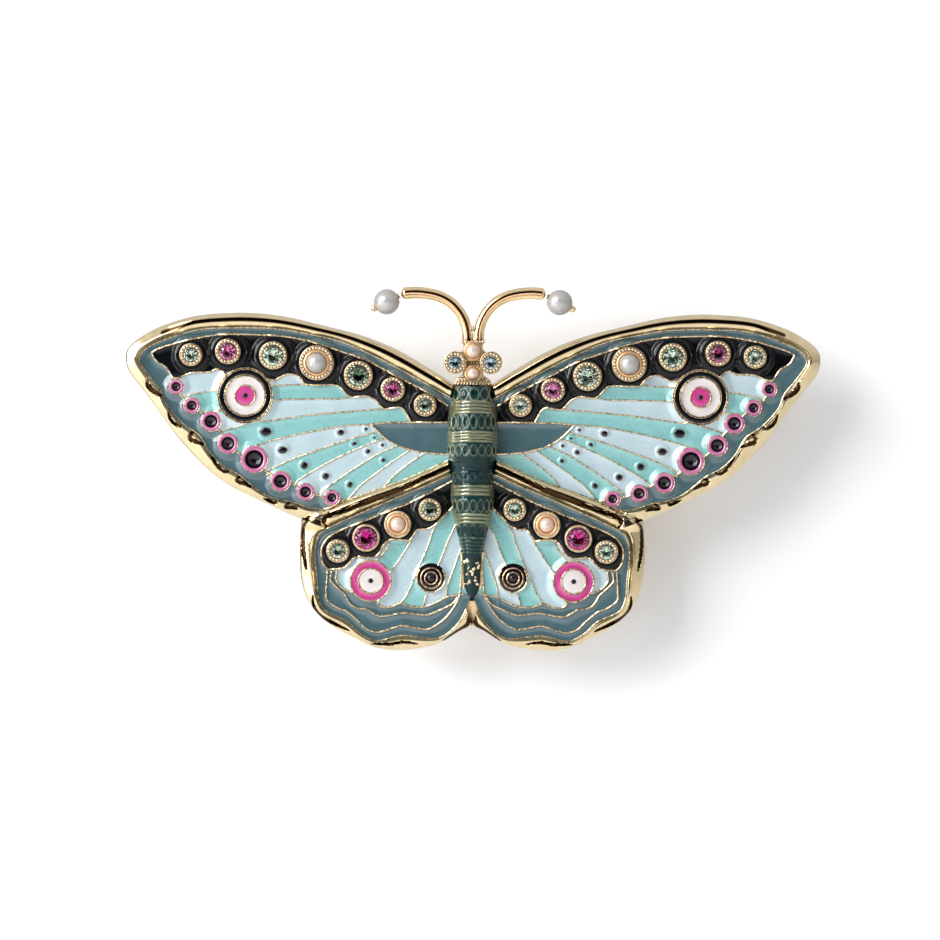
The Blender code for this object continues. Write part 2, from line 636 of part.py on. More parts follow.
def catch():
    """The catch: two cheeks on a foot, and a rotor that turns in their bores to close their slots."""
    half = CHEEK_SPACE / 2
    base = foot("catch_base", CATCH_X, half + CHEEK_THICKNESS + 0.4, 2.3)
    gap = math.degrees(math.asin(ROTOR_SLOT / CHEEK_RADIUS))
    mouth = math.degrees(math.asin(ROTOR_SLOT / CHEEK_BORE))
    leg = -PIN_OFF_BACK + 0.3
    outline = joined(arc(CHEEK_RADIUS, gap, 90, 6), [(leg, CHEEK_RADIUS), (leg, -CHEEK_RADIUS)],
                     arc(CHEEK_RADIUS, 270, 360 - gap, 6), arc(CHEEK_BORE, 360 - mouth, mouth, 20))
    for name, low in (("cheek_inner", -half - CHEEK_THICKNESS), ("cheek_outer", half)):
        cheek = slab(name, [outline], low, low + CHEEK_THICKNESS, turn=SIDEWAYS, at=(CATCH_X, PIN_OFF_BACK, 0))
        combine(base, "UNION", cheek)
    reach = half + CHEEK_THICKNESS + 0.1
    rotor = slab("catch_rotor", [c_section(ROTOR_HUB, ROTOR_SLOT, ROTOR_SLOT)], -reach, reach, PARTS, "gold",
                 SIDEWAYS, (CATCH_X, PIN_OFF_BACK, 0))
    flange = half - ROTOR_END_GAP
    disc = slab("rotor_flange", [c_section(ROTOR_FLANGE, ROTOR_SLOT, ROTOR_SLOT)], -flange, flange, turn=SIDEWAYS,
                at=(CATCH_X, PIN_OFF_BACK, 0))
    lever_end = arc(LEVER_HALF_WIDTH, 180, 360, 8, (0, -LEVER_REACH + LEVER_HALF_WIDTH))
    lever_outline = joined(lever_end, [(LEVER_HALF_WIDTH, -1.3), (-LEVER_HALF_WIDTH, -1.3)])
    lever = slab("rotor_lever", [lever_outline], -flange * 0.7, flange * 0.7, turn=SIDEWAYS,
                 at=(CATCH_X, PIN_OFF_BACK, 0))
    combine(rotor, "UNION", disc, lever)


wing_casting()
for wing_side in SIDES:
    fore_enamels(wing_side)
    hind_enamels(wing_side)
    sign_of_side = SIDES[wing_side]
    eye_boss(f"fore_eye_{wing_side}", sign_of_side * FORE_EYE[0], FORE_EYE[1], FORE_EYE[2])
    eye_boss(f"hind_eye_{wing_side}", sign_of_side * HIND_EYE[0], HIND_EYE[1], HIND_EYE[2])
    set_stones(wing_side)
body()
head()
for wing_side in SIDES:
    antenna(wing_side)
    antenna_tip(wing_side)
pin_joint()
pin_stem()
catch()
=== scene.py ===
"""The looks of the butterfly brooch: gilt casting, cell wires, enamels, set stones, body, antennae and pin.

Everything is drawn in millimetres as (x, z, h): x along the wing span, z up, and h the height of a point in
front of the casting's back face. The right wings are drawn, and the left ones are their mirror image.
"""

import math

import bmesh
import bpy
import numpy as np
from mathutils import Matrix, Vector
from mathutils.geometry import delaunay_2d_cdt
from mathutils.kdtree import KDTree

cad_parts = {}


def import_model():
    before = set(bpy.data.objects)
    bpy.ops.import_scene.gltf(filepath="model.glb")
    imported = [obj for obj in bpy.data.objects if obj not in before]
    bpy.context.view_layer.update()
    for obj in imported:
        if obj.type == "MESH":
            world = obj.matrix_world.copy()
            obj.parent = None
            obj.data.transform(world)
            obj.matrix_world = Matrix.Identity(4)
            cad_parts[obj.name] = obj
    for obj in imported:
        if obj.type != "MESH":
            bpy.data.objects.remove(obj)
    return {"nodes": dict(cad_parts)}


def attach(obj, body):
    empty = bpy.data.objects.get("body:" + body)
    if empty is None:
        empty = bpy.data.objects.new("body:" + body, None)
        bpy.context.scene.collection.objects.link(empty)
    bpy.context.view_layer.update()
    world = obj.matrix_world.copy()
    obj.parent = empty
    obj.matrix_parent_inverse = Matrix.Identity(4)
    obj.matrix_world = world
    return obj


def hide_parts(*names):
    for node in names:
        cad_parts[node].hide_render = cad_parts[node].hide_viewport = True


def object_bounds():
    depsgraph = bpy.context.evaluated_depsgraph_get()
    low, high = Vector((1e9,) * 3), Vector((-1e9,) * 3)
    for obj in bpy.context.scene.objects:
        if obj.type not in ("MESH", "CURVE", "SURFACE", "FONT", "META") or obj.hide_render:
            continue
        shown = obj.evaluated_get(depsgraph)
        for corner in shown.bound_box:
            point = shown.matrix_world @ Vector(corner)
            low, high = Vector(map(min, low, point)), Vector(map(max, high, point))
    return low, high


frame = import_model()
CAD_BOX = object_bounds()
MM = 0.001
SIDES = {"left": -1, "right": 1}

# Heights in front of the back face, in millimetres.
PLATE = 1.2
LEVEL = 2.0
RIM = 2.97
RIM_BACK = 0.35
ENAMEL_FLOOR = PLATE + 0.01
CUP_TOP = 3.16
STONE_TABLE = 3.5
# How far the enamel runs under a cup, and how deep a nick goes.
CUP_OVERLAP = 0.1
NICK_DEPTH = 0.28

# Outer edge of the casting and inner edges of its rims.
FORE_EDGE = [
    (2.3, 6.6), (5.0, 8.3), (9.0, 10.6), (13.0, 12.2), (17.3, 13.3), (22.0, 14.4), (26.0, 14.85),
    (29.4, 14.8), (33.0, 14.4), (36.6, 13.3), (38.9, 12.1), (40.5, 10.8), (40.9, 9.5), (40.4, 7.7),
    (38.6, 5.4), (36.6, 2.7), (34.8, 0.2), (33.0, -1.8), (31.2, -3.6), (28.6, -5.5), (25.8, -6.9),
    (22.0, -8.6), (20.1, -9.4),
]
HIND_EDGE = [
    (20.1, -9.4), (20.3, -12.8), (20.1, -16.6), (19.1, -19.4), (16.9, -21.7), (13.8, -23.4), (11.2, -24.55),
    (8.2, -24.8), (4.3, -24.15), (1.4, -22.5), (0.0, -21.9),
]
FORE_RIM_OF_BORDER = [
    (2.7, 5.0), (5.7, 6.7), (9.0, 8.5), (12.3, 10.15), (15.7, 11.55), (19.0, 12.3), (23.5, 13.0),
    (29.4, 13.05), (33.0, 12.7), (36.6, 11.5), (38.4, 10.6), (39.1, 9.7), (39.1, 8.8), (37.7, 6.85),
    (36.6, 5.5), (35.9, 3.8), (34.1, 1.8), (32.1, 0.4), (30.9, -1.6), (29.3, -3.2), (27.3, -4.3),
    (25.1, -6.1), (23.2, -7.0), (21.2, -7.4), (19.0, -8.1), (17.3, -8.2), (15.8, -7.6),
]
FORE_RIM_OF_FIELD = [(15.8, -7.6), (12.3, -6.25), (9.0, -5.1), (5.7, -3.7), (2.9, -2.45)]
HIND_RIM_UPPER = [
    (2.6, -4.05), (5.8, -5.5), (8.9, -6.8), (11.2, -7.8), (13.5, -8.8), (15.8, -9.85), (17.1, -10.5),
]
HIND_RIM_LOWER = [
    (17.1, -10.5), (18.1, -11.4), (18.5, -13.5), (18.2, -16.6), (18.1, -18.4), (17.3, -20.1), (14.8, -21.3),
    (13.4, -22.6), (12.1, -23.4), (10.9, -23.65), (8.5, -23.05), (7.2, -23.1), (4.6, -23.4), (3.2, -23.0),
    (1.9, -21.9), (1.1, -20.8), (0.7, -19.9),
]

# Lines between the enamels.
BAND_UPPER = [
    (2.9, 4.0), (5.7, 5.75), (9.0, 7.45), (12.3, 9.2), (15.7, 10.4), (20.0, 11.7), (24.0, 12.2),
    (29.4, 12.25), (33.0, 11.7), (36.6, 10.7), (37.8, 10.1),
]
BAND_TIP = [(37.8, 10.1), (37.2, 9.1), (36.1, 8.4), (35.3, 7.2)]
BAND_LOWER_OUTER = [
    (35.3, 7.15), (34.6, 7.15), (33.0, 7.75), (31.0, 7.85), (30.1, 8.2), (29.5, 7.95), (28.9, 7.4),
]
BAND_LOWER_INNER = [
    (24.2, 7.0), (23.3, 6.95), (22.6, 7.3), (21.8, 7.65), (20.8, 7.5), (20.1, 7.0), (19.6, 6.45),
    (18.2, 6.35), (16.4, 6.4), (15.6, 6.1), (14.9, 5.35), (14.2, 4.95), (13.0, 5.1), (12.3, 5.05),
    (11.5, 4.65), (10.8, 3.9), (10.4, 3.6), (9.7, 3.65), (8.7, 3.8), (8.1, 3.5), (7.7, 2.85), (7.3, 2.1),
]
BEAD_LINE = [
    (35.3, 7.15), (34.2, 4.9), (31.9, 3.1), (29.6, 0.85), (27.4, -1.75), (24.1, -3.9), (20.9, -5.35),
    (17.9, -6.65), (15.1, -7.1), (14.4, -7.25),
]
WEDGE_UPPER = [(2.9, 2.05), (7.3, 2.05), (10.0, 1.98), (11.95, 1.8)]
WEDGE_LOWER = [(11.95, 1.8), (11.3, 1.1), (10.2, 0.1), (8.8, -0.7), (7.4, -1.15), (5.7, -1.5), (2.9, -1.7)]
FORE_VEINS = [
    [(23.5, 6.25), (21.8, 6.35), (19.6, 6.45)],
    [(23.45, 4.5), (22.2, 4.65), (18.0, 4.75), (16.0, 4.75), (14.2, 4.95)],
    [(25.4, 2.35), (24.8, 2.05), (22.6, 2.35), (19.4, 2.8), (17.0, 3.05), (13.0, 3.4), (10.4, 3.6)],
    [(25.6, -0.8), (24.0, -0.3), (21.5, 0.35), (18.5, 1.0), (15.0, 1.6), (11.95, 1.8)],
    [(24.2, -3.8), (21.8, -2.6), (19.3, -1.65), (16.5, -0.65), (14.5, 0.0), (12.2, 0.65), (11.2, 0.9)],
    [(20.9, -5.35), (20.3, -4.7), (18.2, -3.4), (16.0, -2.2), (13.7, -1.15), (11.3, -0.15), (10.2, 0.1)],
    [(17.9, -6.65), (17.3, -5.9), (15.5, -4.5), (13.2, -2.95), (10.9, -1.6), (8.8, -0.7)],
    [(14.9, -7.1), (14.4, -6.8), (13.3, -5.5), (11.2, -3.85), (9.0, -2.3), (7.3, -1.15)],
    [(10.4, -5.65), (9.3, -4.3), (7.7, -2.95), (5.65, -1.5)],
    [(34.2, 4.9), (32.7, 5.25), (31.2, 5.55), (30.1, 5.7)],
    [(31.9, 3.1), (30.5, 3.2), (29.5, 3.3)],
    [(29.6, 0.85), (28.7, 1.15), (27.6, 1.5), (26.4, 1.85)],
]
HIND_BAND_UPPER = [
    (2.3, -4.8), (6.6, -7.05), (8.9, -8.05), (13.4, -9.85), (16.3, -11.1), (17.6, -12.5), (17.7, -14.0),
    (17.4, -14.8), (16.9, -15.3),
]
HIND_BAND_LOWER = [
    (16.9, -15.3), (15.6, -15.2), (14.8, -14.9), (14.0, -14.0), (13.4, -13.75), (12.4, -13.9),
    (11.5, -13.8), (10.9, -13.3), (10.5, -12.5), (9.9, -11.9), (9.2, -11.7), (7.9, -11.8), (7.4, -11.85),
    (6.9, -11.2), (6.4, -10.55), (5.4, -10.5), (4.5, -10.1), (3.5, -9.1), (2.6, -8.2), (1.9, -7.4),
]
HEM_OUTER = [(15.9, -15.3), (16.0, -16.3), (15.7, -17.0), (15.0, -17.6), (14.3, -17.9), (13.8, -18.0)]
HEM_INNER = [
    (10.9, -18.8), (11.1, -19.3), (10.5, -19.7), (9.5, -19.65), (8.4, -19.2), (7.8, -19.4), (6.8, -19.65),
    (5.5, -19.6), (4.2, -19.1), (3.0, -18.5), (1.7, -18.2), (0.9, -18.1),
]
WAVE_UPPER = [
    (16.5, -15.5), (16.65, -16.4), (16.3, -17.0), (15.0, -18.2), (14.6, -18.9), (14.1, -19.5),
    (13.3, -19.85), (12.5, -19.9), (11.8, -20.3), (11.0, -20.7), (10.0, -20.7), (8.0, -20.35),
    (6.0, -20.55), (5.0, -20.5), (3.3, -19.8), (2.2, -19.2), (1.7, -18.5),
]
WAVE_LOWER = [
    (17.0, -15.4), (17.05, -16.2), (17.15, -17.8), (17.0, -18.9), (15.8, -19.8), (14.8, -20.15),
    (13.3, -21.4), (12.6, -22.1), (11.8, -22.5), (10.8, -22.6), (9.0, -22.05), (8.0, -21.85), (6.0, -22.2),
    (5.0, -22.2), (3.4, -21.2), (2.1, -19.6), (1.4, -17.8), (1.15, -13.8),
]
HIND_VEINS = [
    [(9.9, -15.8), (9.2, -15.0), (7.8, -12.9), (6.9, -11.2)],
    [(11.3, -14.3), (10.1, -12.9), (9.6, -11.8)],
    [(8.4, -19.2), (7.6, -18.1), (6.4, -15.3), (5.3, -12.7), (4.8, -11.2), (4.4, -10.1)],
    [(4.1, -15.0), (3.4, -13.3), (2.7, -11.5), (1.5, -9.0)],
    [(3.0, -18.4), (2.9, -17.2), (2.5, -16.0), (1.95, -14.5), (1.5, -13.2), (1.1, -12.4)],
    [(5.3, -17.9), (5.6, -19.0), (5.7, -19.6)],
]

# A point in each cell of the striped fields, with its enamel.
FORE_CELLS = [
    ((22.0, 6.8), "white"), ((19.0, 5.5), "aqua"), ((16.0, 4.1), "white"), ((18.0, 2.2), "aqua"),
    ((18.0, 0.2), "white"), ((17.5, -1.6), "aqua"), ((17.5, -3.8), "white"), ((14.0, -4.6), "aqua"),
    ((10.0, -4.1), "white"), ((5.5, -2.7), "aqua"), ((32.5, 6.6), "white"), ((31.2, 4.4), "aqua"),
    ((29.2, 2.0), "white"), ((27.0, 0.7), "aqua"),
]
HIND_CELLS = [
    ((9.2, -13.3), "aqua"), ((7.0, -14.2), "white"), ((4.4, -12.5), "aqua"), ((2.5, -12.8), "white"),
    ((2.0, -16.6), "aqua"), ((6.9, -18.6), "aqua"), ((4.3, -18.6), "white"), ((15.2, -16.4), "white"),
]

# Set stones from the body outwards: name, x, z, radius of the cup, radius of the stone, kind.
FORE_STONES = [
    ("fore_crystal_1", 5.6, 4.05, 1.33, 0.75, "green"),
    ("fore_crystal_2", 9.4, 5.9, 1.42, 0.95, "pink"),
    ("fore_crystal_3", 13.45, 7.5, 1.7, 1.2, "green"),
    ("fore_pearl", 18.35, 8.95, 2.05, 1.24, "pearl"),
    ("fore_crystal_4", 23.45, 9.8, 1.65, 1.17, "green"),
    ("fore_crystal_5", 28.75, 10.25, 1.5, 1.0, "pink"),
    ("fore_crystal_6", 33.1, 9.85, 1.35, 0.8, "green"),
]
HIND_STONES = [
    ("hind_crystal_1", 4.98, -8.2, 1.33, 0.8, "green"),
    ("hind_pearl", 8.75, -9.95, 1.6, 1.0, "pearl"),
    ("hind_crystal_2", 12.45, -11.55, 1.62, 1.3, "fuchsia"),
    ("hind_crystal_3", 15.75, -13.1, 1.38, 0.85, "green"),
]
STONES = {"fore": FORE_STONES, "hind": HIND_STONES}
# Ring drops along the forewing's edge: x, z, outer radius, radius of the hollow.
DROPS = [
    (34.85, 6.1, 0.92, 0.52), (33.0, 3.9, 0.98, 0.55), (30.75, 2.05, 1.23, 0.75),
    (28.75, -0.55, 1.24, 0.76), (25.65, -2.4, 1.62, 1.08), (22.55, -4.95, 1.22, 0.76),
    (19.6, -6.2, 1.04, 0.62), (16.5, -6.85, 0.95, 0.5),
]
DROP_BEADS = [
    (34.15, 4.85), (31.85, 3.1), (29.6, 0.85), (27.3, -1.72), (24.05, -4.2), (20.95, -5.35), (17.85, -6.6),
    (15.2, -7.15),
]
# Dark oval dots in the forewing's field: x, z, half-width, half-height.
SEEDS = [
    (24.3, 0.85, 0.72, 0.58), (22.3, -1.3, 0.6, 0.42), (19.75, -3.1, 0.45, 0.45), (17.25, -4.35, 0.42, 0.4),
    (14.4, -5.35, 0.34, 0.34), (15.5, 0.85, 0.45, 0.42), (12.55, 1.25, 0.2, 0.28), (13.9, -0.5, 0.3, 0.3),
    (11.55, 0.2, 0.22, 0.22), (12.3, -1.4, 0.3, 0.28), (10.6, -0.65, 0.18, 0.2), (10.5, -2.45, 0.24, 0.24),
]
FORE_EYE = (26.75, 5.1, 3.32)
HIND_EYE = (11.92, -16.6, 2.47)
SPIRAL = (4.82, -16.25, 1.75)

# Nicks between the facets of the hammered rim, each dented and painted dark as shade: points along each, and
# its half-width in the middle.
NICKS = [
    ([(36.5, 4.9), (37.4, 5.5), (38.1, 6.1), (38.3, 7.0)], 0.27),
    ([(34.15, 1.8), (34.4, 1.45), (35.0, 1.75), (35.5, 2.3), (35.8, 3.2)], 0.19),
    ([(31.5, -0.75), (32.4, -0.35), (33.1, -0.1), (33.15, 0.4), (32.6, 1.0)], 0.24),
    ([(28.5, -3.3), (28.75, -3.85), (29.4, -3.7), (30.1, -3.0), (30.8, -1.9)], 0.19),
    ([(25.9, -5.75), (26.8, -5.2), (27.5, -5.0), (27.55, -4.6), (27.0, -4.3)], 0.24),
    ([(23.05, -7.0), (23.15, -7.5), (23.7, -7.35), (24.5, -6.95)], 0.18),
    ([(20.3, -8.25), (21.2, -8.0), (21.9, -7.95), (21.6, -7.5), (21.3, -7.25)], 0.22),
    ([(19.3, -9.0), (19.4, -9.6), (19.85, -10.3), (19.9, -12.5), (19.6, -14.6), (19.45, -15.4)], 0.24),
    ([(18.65, -18.2), (18.65, -19.3), (18.0, -20.5), (16.6, -21.4), (14.3, -22.5)], 0.21),
    ([(6.3, -24.0), (8.0, -23.75), (9.6, -24.0), (11.9, -24.0)], 0.16),
    ([(0.3, -20.2), (0.5, -21.6), (1.8, -22.6), (3.4, -23.6)], 0.27),
]

# The groove along the ridge between a side's wings.
GROOVE = [
    (2.4, -3.0), (4.0, -3.75), (5.5, -4.4), (7.0, -5.15), (9.0, -6.1), (12.0, -7.25), (15.0, -8.35),
    (16.6, -8.85), (17.3, -9.2), (17.5, -9.9),
]

BODY_WIDTHS = [
    (6.3, 2.3), (5.0, 2.5), (3.0, 2.9), (1.0, 3.05), (-1.5, 3.0), (-3.0, 2.65), (-5.0, 2.55), (-7.0, 2.6),
    (-8.5, 2.4), (-10.0, 2.05), (-12.0, 1.6), (-14.0, 1.2), (-16.0, 1.1), (-17.5, 0.95), (-18.5, 0.6),
    (-18.95, 0.2),
]
BODY_CROWN = 1.4
HEAD_EDGE = [
    (2.15, 6.45), (2.1, 6.95), (1.35, 7.5), (1.25, 8.2), (2.1, 8.5), (2.1, 9.6), (1.1, 9.9), (1.15, 11.1),
    (1.2, 11.48),
]
HEAD_PEARLS = [("head_pearl_upper", 0.0, 10.4, 1.05, 0.9), ("head_pearl_lower", 0.0, 7.75, 0.95, 0.75)]
HEAD_CRYSTAL = (2.1, 9.05, 1.33, 0.72)
ANTENNA_LINE = [
    (0.66, 11.58), (0.7, 12.7), (1.05, 14.0), (1.75, 15.2), (2.85, 16.25), (4.4, 16.95), (6.6, 17.25),
    (8.5, 17.1),
]
ANTENNA_DEPTH = 2.6
ANTENNA_PEARL = (10.15, 16.15, 1.5)
HEADPIN_BALL = (11.62, 15.42, 0.42)


# Curves


def smooth(points, steps=8):
    """The Catmull-Rom curve through the points, with this many steps from each to the next."""
    ends = [2 * np.array(points[0]) - points[1], 2 * np.array(points[-1]) - points[-2]]
    p = np.array([ends[0], *points, ends[1]], float)
    t = (np.arange(steps) / steps)[None, :, None]
    a, b, c, d = (p[i : len(p) - 3 + i, None, :] for i in range(4))
    run = 0.5 * (2 * b + (c - a) * t + (2 * a - 5 * b + 4 * c - d) * t**2 + (3 * b - a - 3 * c + d) * t**3)
    return np.concatenate([run.reshape(-1, p.shape[1]), p[-2:-1]])


def lengths(points):
    return np.concatenate([[0], np.cumsum(np.linalg.norm(np.diff(points, axis=0), axis=1))])


def resample(points, count):
    points = np.asarray(points, float)
    along = lengths(points)
    wanted = np.linspace(0, along[-1], count)
    return np.stack([np.interp(wanted, along, points[:, k]) for k in range(points.shape[1])], axis=1)


def circle(x, z, radius, count=64):
    angles = np.linspace(0, 2 * math.pi, count, endpoint=False)
    return np.stack([x + radius * np.cos(angles), z + radius * np.sin(angles)], axis=1)


def inside(points, polygon):
    """Which of the points lie inside the closed polygon."""
    points = np.asarray(points, float)
    x, z = points[:, 0], points[:, 1]
    hit = np.zeros(len(points), bool)
    ends = np.roll(polygon, -1, axis=0)
    for (x0, z0), (x1, z1) in zip(polygon, ends):
        if z0 != z1:
            hit ^= ((z0 > z) != (z1 > z)) & (x < (x1 - x0) * (z - z0) / (z1 - z0) + x0)
    return hit


def ease(t):
    t = np.clip(t, 0, 1)
    return t * t * (3 - 2 * t)


def search_tree(points):
    """A tree that finds the nearest of some points (x, z)."""
    tree = KDTree(len(points))
    for i, (x, z) in enumerate(points):
        tree.insert((x, z, 0), i)
    tree.balance()
    return tree


def distances(tree, places):
    return np.array([tree.find((x, z, 0))[2] for x, z in places])


def on_right(places):
    """The (x, z) of points on either side of the brooch, as they are on the right one."""
    return places[:, :2] * np.where(places[:, :1] < 0, (-1, 1), (1, 1))


# Shapes: points (x, z, h) and faces, gathered until they become one object


class Shape:
    def __init__(self):
        self.points = []
        self.faces = []
        self.count = 0

    def add(self, points, faces):
        self.points.append(np.asarray(points, float).reshape(-1, 3))
        self.faces.extend([tuple(int(i) + self.count for i in face) for face in faces])
        self.count += len(self.points[-1])
        return self

    def loft(self, grid, around=False, along=False, caps=False):
        """Quads over a grid of points [station][place]. around closes each station, along the whole loft."""
        grid = np.asarray(grid, float)
        rows, columns = grid.shape[:2]
        faces = []
        for i in range(rows if along else rows - 1):
            for j in range(columns if around else columns - 1):
                k, m = (i + 1) % rows, (j + 1) % columns
                faces.append((i * columns + j, i * columns + m, k * columns + m, k * columns + j))
        if caps:
            faces.append(tuple(reversed(range(columns))))
            faces.append(tuple((rows - 1) * columns + j for j in range(columns)))
        return self.add(grid, faces)

    def turn(self, profile, centre, sides=48, closed=False):
        """A solid turned about the front-back axis. The profile of (radius, h) runs down its outer side."""
        x, z = centre
        angles = np.linspace(0, 2 * math.pi, sides, endpoint=False)
        grid = [[(x + r * math.cos(a), z + r * math.sin(a), h) for r, h in profile] for a in angles]
        return self.loft(grid, around=closed, along=True)

    def tube(self, line, heights, radii, sides=10, caps=True):
        """A round wire along a line of (x, z) at the given heights."""
        line = np.asarray(line, float)
        heights = np.broadcast_to(heights, len(line))
        radii = np.broadcast_to(radii, len(line))
        path = np.column_stack([line, heights])
        ahead = np.gradient(path, axis=0)
        ahead /= np.linalg.norm(ahead, axis=1)[:, None]
        side = np.cross((0, 0, 1), ahead)
        side /= np.maximum(np.linalg.norm(side, axis=1), 1e-9)[:, None]
        up = np.cross(ahead, side)
        angles = np.linspace(0, 2 * math.pi, sides, endpoint=False)
        grid = [path + radii[:, None] * (math.cos(a) * side + math.sin(a) * up) for a in angles]
        return self.loft(np.swapaxes(np.array(grid), 0, 1), around=True, caps=caps)

    def beads(self, centres, radius, flat=1.0):
        """Small round grains at (x, z, h), each flattened along h."""
        template, faces = bead_template()
        radii = np.broadcast_to(radius, len(centres))
        for centre, r in zip(centres, radii):
            self.add(np.asarray(centre) + template * (r, r, r * flat), faces)
        return self


BEAD = {}


def bead_template():
    if not BEAD:
        work = bmesh.new()
        bmesh.ops.create_icosphere(work, subdivisions=2, radius=1)
        BEAD["points"] = np.array([v.co for v in work.verts])
        BEAD["faces"] = [tuple(v.index for v in face.verts) for face in work.faces]
        work.free()
    return BEAD["points"], BEAD["faces"]


def build(name, shape, finish, body="brooch", replaces=(), side=1, turn=None, flat=None):
    """One object from a shape. side -1 mirrors it to the left, and turn is a matrix for the whole of it.

    flat is the angle in degrees from which an edge is sharp, or 0 where every face is flat.
    """
    points = np.concatenate(shape.points) * (side, 1, 1)
    places = np.column_stack([points[:, 0], -points[:, 2], points[:, 1]]) * MM
    mesh = bpy.data.meshes.new(name)
    mesh.from_pydata(places.tolist(), [], shape.faces)
    work = bmesh.new()
    work.from_mesh(mesh)
    bmesh.ops.remove_doubles(work, verts=work.verts, dist=2e-7)
    bmesh.ops.dissolve_degenerate(work, edges=work.edges, dist=1e-7)
    bmesh.ops.recalc_face_normals(work, faces=work.faces)
    work.to_mesh(mesh)
    work.free()
    if turn is not None:
        mesh.transform(turn)
    if flat != 0:
        mesh.shade_smooth()
        mesh.set_sharp_from_angle(angle=math.radians(flat or 40))
    mesh.materials.append(MATERIALS[finish])
    obj = bpy.data.objects.new(name, mesh)
    bpy.context.scene.collection.objects.link(obj)
    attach(obj, body)
    if replaces:
        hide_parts(*replaces)
    return obj


# Materials


def new_material(name):
    material = bpy.data.materials.new(name)
    material.use_nodes = True
    return material, material.node_tree, material.node_tree.nodes["Principled BSDF"]


def feed(tree, node, inputs):
    """Give each of a node's sockets a value, or link it to the output of another node."""
    for socket, value in inputs.items():
        if isinstance(value, bpy.types.NodeSocket):
            tree.links.new(value, node.inputs[socket])
        else:
            node.inputs[socket].default_value = value


def noise(tree, scale, detail=3.0, roughness=0.5):
    """Noise on the object's own coordinates; the scale counts per metre."""
    place = tree.nodes.new("ShaderNodeTexCoord").outputs["Object"]
    texture = tree.nodes.new("ShaderNodeTexNoise")
    feed(tree, texture, {"Vector": place, "Scale": scale, "Detail": detail, "Roughness": roughness})
    return texture.outputs["Fac"]


def ramp(tree, source, stops):
    made = tree.nodes.new("ShaderNodeValToRGB")
    while len(made.color_ramp.elements) < len(stops):
        made.color_ramp.elements.new(0.5)
    for element, (position, colour) in zip(made.color_ramp.elements, stops):
        element.position = position
        element.color = (*colour, 1)
    feed(tree, made, {"Fac": source})
    return made.outputs["Color"]


def attribute(tree, name):
    """The number stored on the mesh under this name."""
    made = tree.nodes.new("ShaderNodeAttribute")
    made.attribute_name = name
    return made.outputs["Fac"]


def arithmetic(tree, operation, *values, clamp=False):
    made = tree.nodes.new("ShaderNodeMath")
    made.operation = operation
    made.use_clamp = clamp
    feed(tree, made, dict(enumerate(values)))
    return made.outputs["Value"]


def blend(tree, mode, factor, first, second):
    made = tree.nodes.new("ShaderNodeMix")
    made.data_type = "RGBA"
    made.blend_type = mode
    feed(tree, made, {"Factor": factor, "A": first, "B": second})
    return made.outputs["Result"]


def bump(tree, source, strength, distance):
    made = tree.nodes.new("ShaderNodeBump")
    feed(tree, made, {"Strength": strength, "Distance": distance, "Height": source})
    return made.outputs["Normal"]


def grey(value):
    return (value, value, value)


def scaled(colour, factor):
    return tuple(channel * factor for channel in colour)


def gold(name, colour, dark, low, high, grain, wave, reach=0.0006, painted=False, flecks=0.0):
    """Gilt metal: soft tone changes, painted shade in its hollows and along painted lines, dark flecks, and
    cast waviness.
    """
    material, tree, shader = new_material(name)
    tint = ramp(tree, noise(tree, 900, 4), [(0.3, scaled(colour, 0.86)), (0.7, colour)])
    # Painted shade: the base colour turns to the dark colour where ambient occlusion finds a hollow.
    hollow = tree.nodes.new("ShaderNodeAmbientOcclusion")
    hollow.samples = 8
    hollow.inputs["Distance"].default_value = reach
    shade_and_flecks = ramp(tree, hollow.outputs["AO"], [(0.25, grey(1)), (0.75, grey(0))])
    # With painted set, the painted shade stored on the mesh also darkens the base colour.
    if painted:
        shade_and_flecks = arithmetic(tree, "MAXIMUM", shade_and_flecks, attribute(tree, "painted_shade"))
    if flecks:
        spots = ramp(tree, noise(tree, 3300, 2), [(0.47, grey(0)), (0.6, grey(flecks))])
        shade_and_flecks = arithmetic(tree, "MAXIMUM", shade_and_flecks, spots)
    height = arithmetic(tree, "MULTIPLY_ADD", noise(tree, 620, 2), wave, noise(tree, grain, 2))
    feed(tree, shader, {
        "Base Color": blend(tree, "MIX", shade_and_flecks, tint, (*dark, 1)),
        "Metallic": 1.0,
        "Roughness": ramp(tree, noise(tree, 2600, 5), [(0.3, grey(low)), (0.75, grey(high))]),
        "Normal": bump(tree, height, 0.2, 0.00003),
    })
    return material


def enamel(name, colour, deep, pale, rough=0.1, coat=1.0, sub=0.0, specular=0.5):
    """Fired enamel: pooled darker and paler tones, tiny pits and a glassy, faintly wavy surface."""
    material, tree, shader = new_material(name)
    pits = tree.nodes.new("ShaderNodeTexVoronoi")
    feed(tree, pits, {"Scale": 3200, "Vector": tree.nodes.new("ShaderNodeTexCoord").outputs["Object"]})
    specks = ramp(tree, pits.outputs["Distance"], [(0.0, grey(0)), (0.09, grey(1))])
    normal = bump(tree, arithmetic(tree, "MULTIPLY_ADD", specks, 0.25, noise(tree, 700, 2)), 0.25, 0.00004)
    feed(tree, shader, {
        "Base Color": ramp(tree, noise(tree, 420, 5, 0.6), [(0.28, deep), (0.5, colour), (0.74, pale)]),
        "Roughness": ramp(tree, noise(tree, 3000, 6), [(0.35, grey(rough)), (0.8, grey(rough * 2.4))]),
        "Specular IOR Level": specular,
        "Coat Weight": coat,
        "Coat Roughness": 0.04,
        "Subsurface Weight": sub,
        "Subsurface Radius": (0.0006, 0.0005, 0.0004),
        "Subsurface Scale": 1.0,
        "Normal": normal,
        "Coat Normal": normal,
    })
    return material


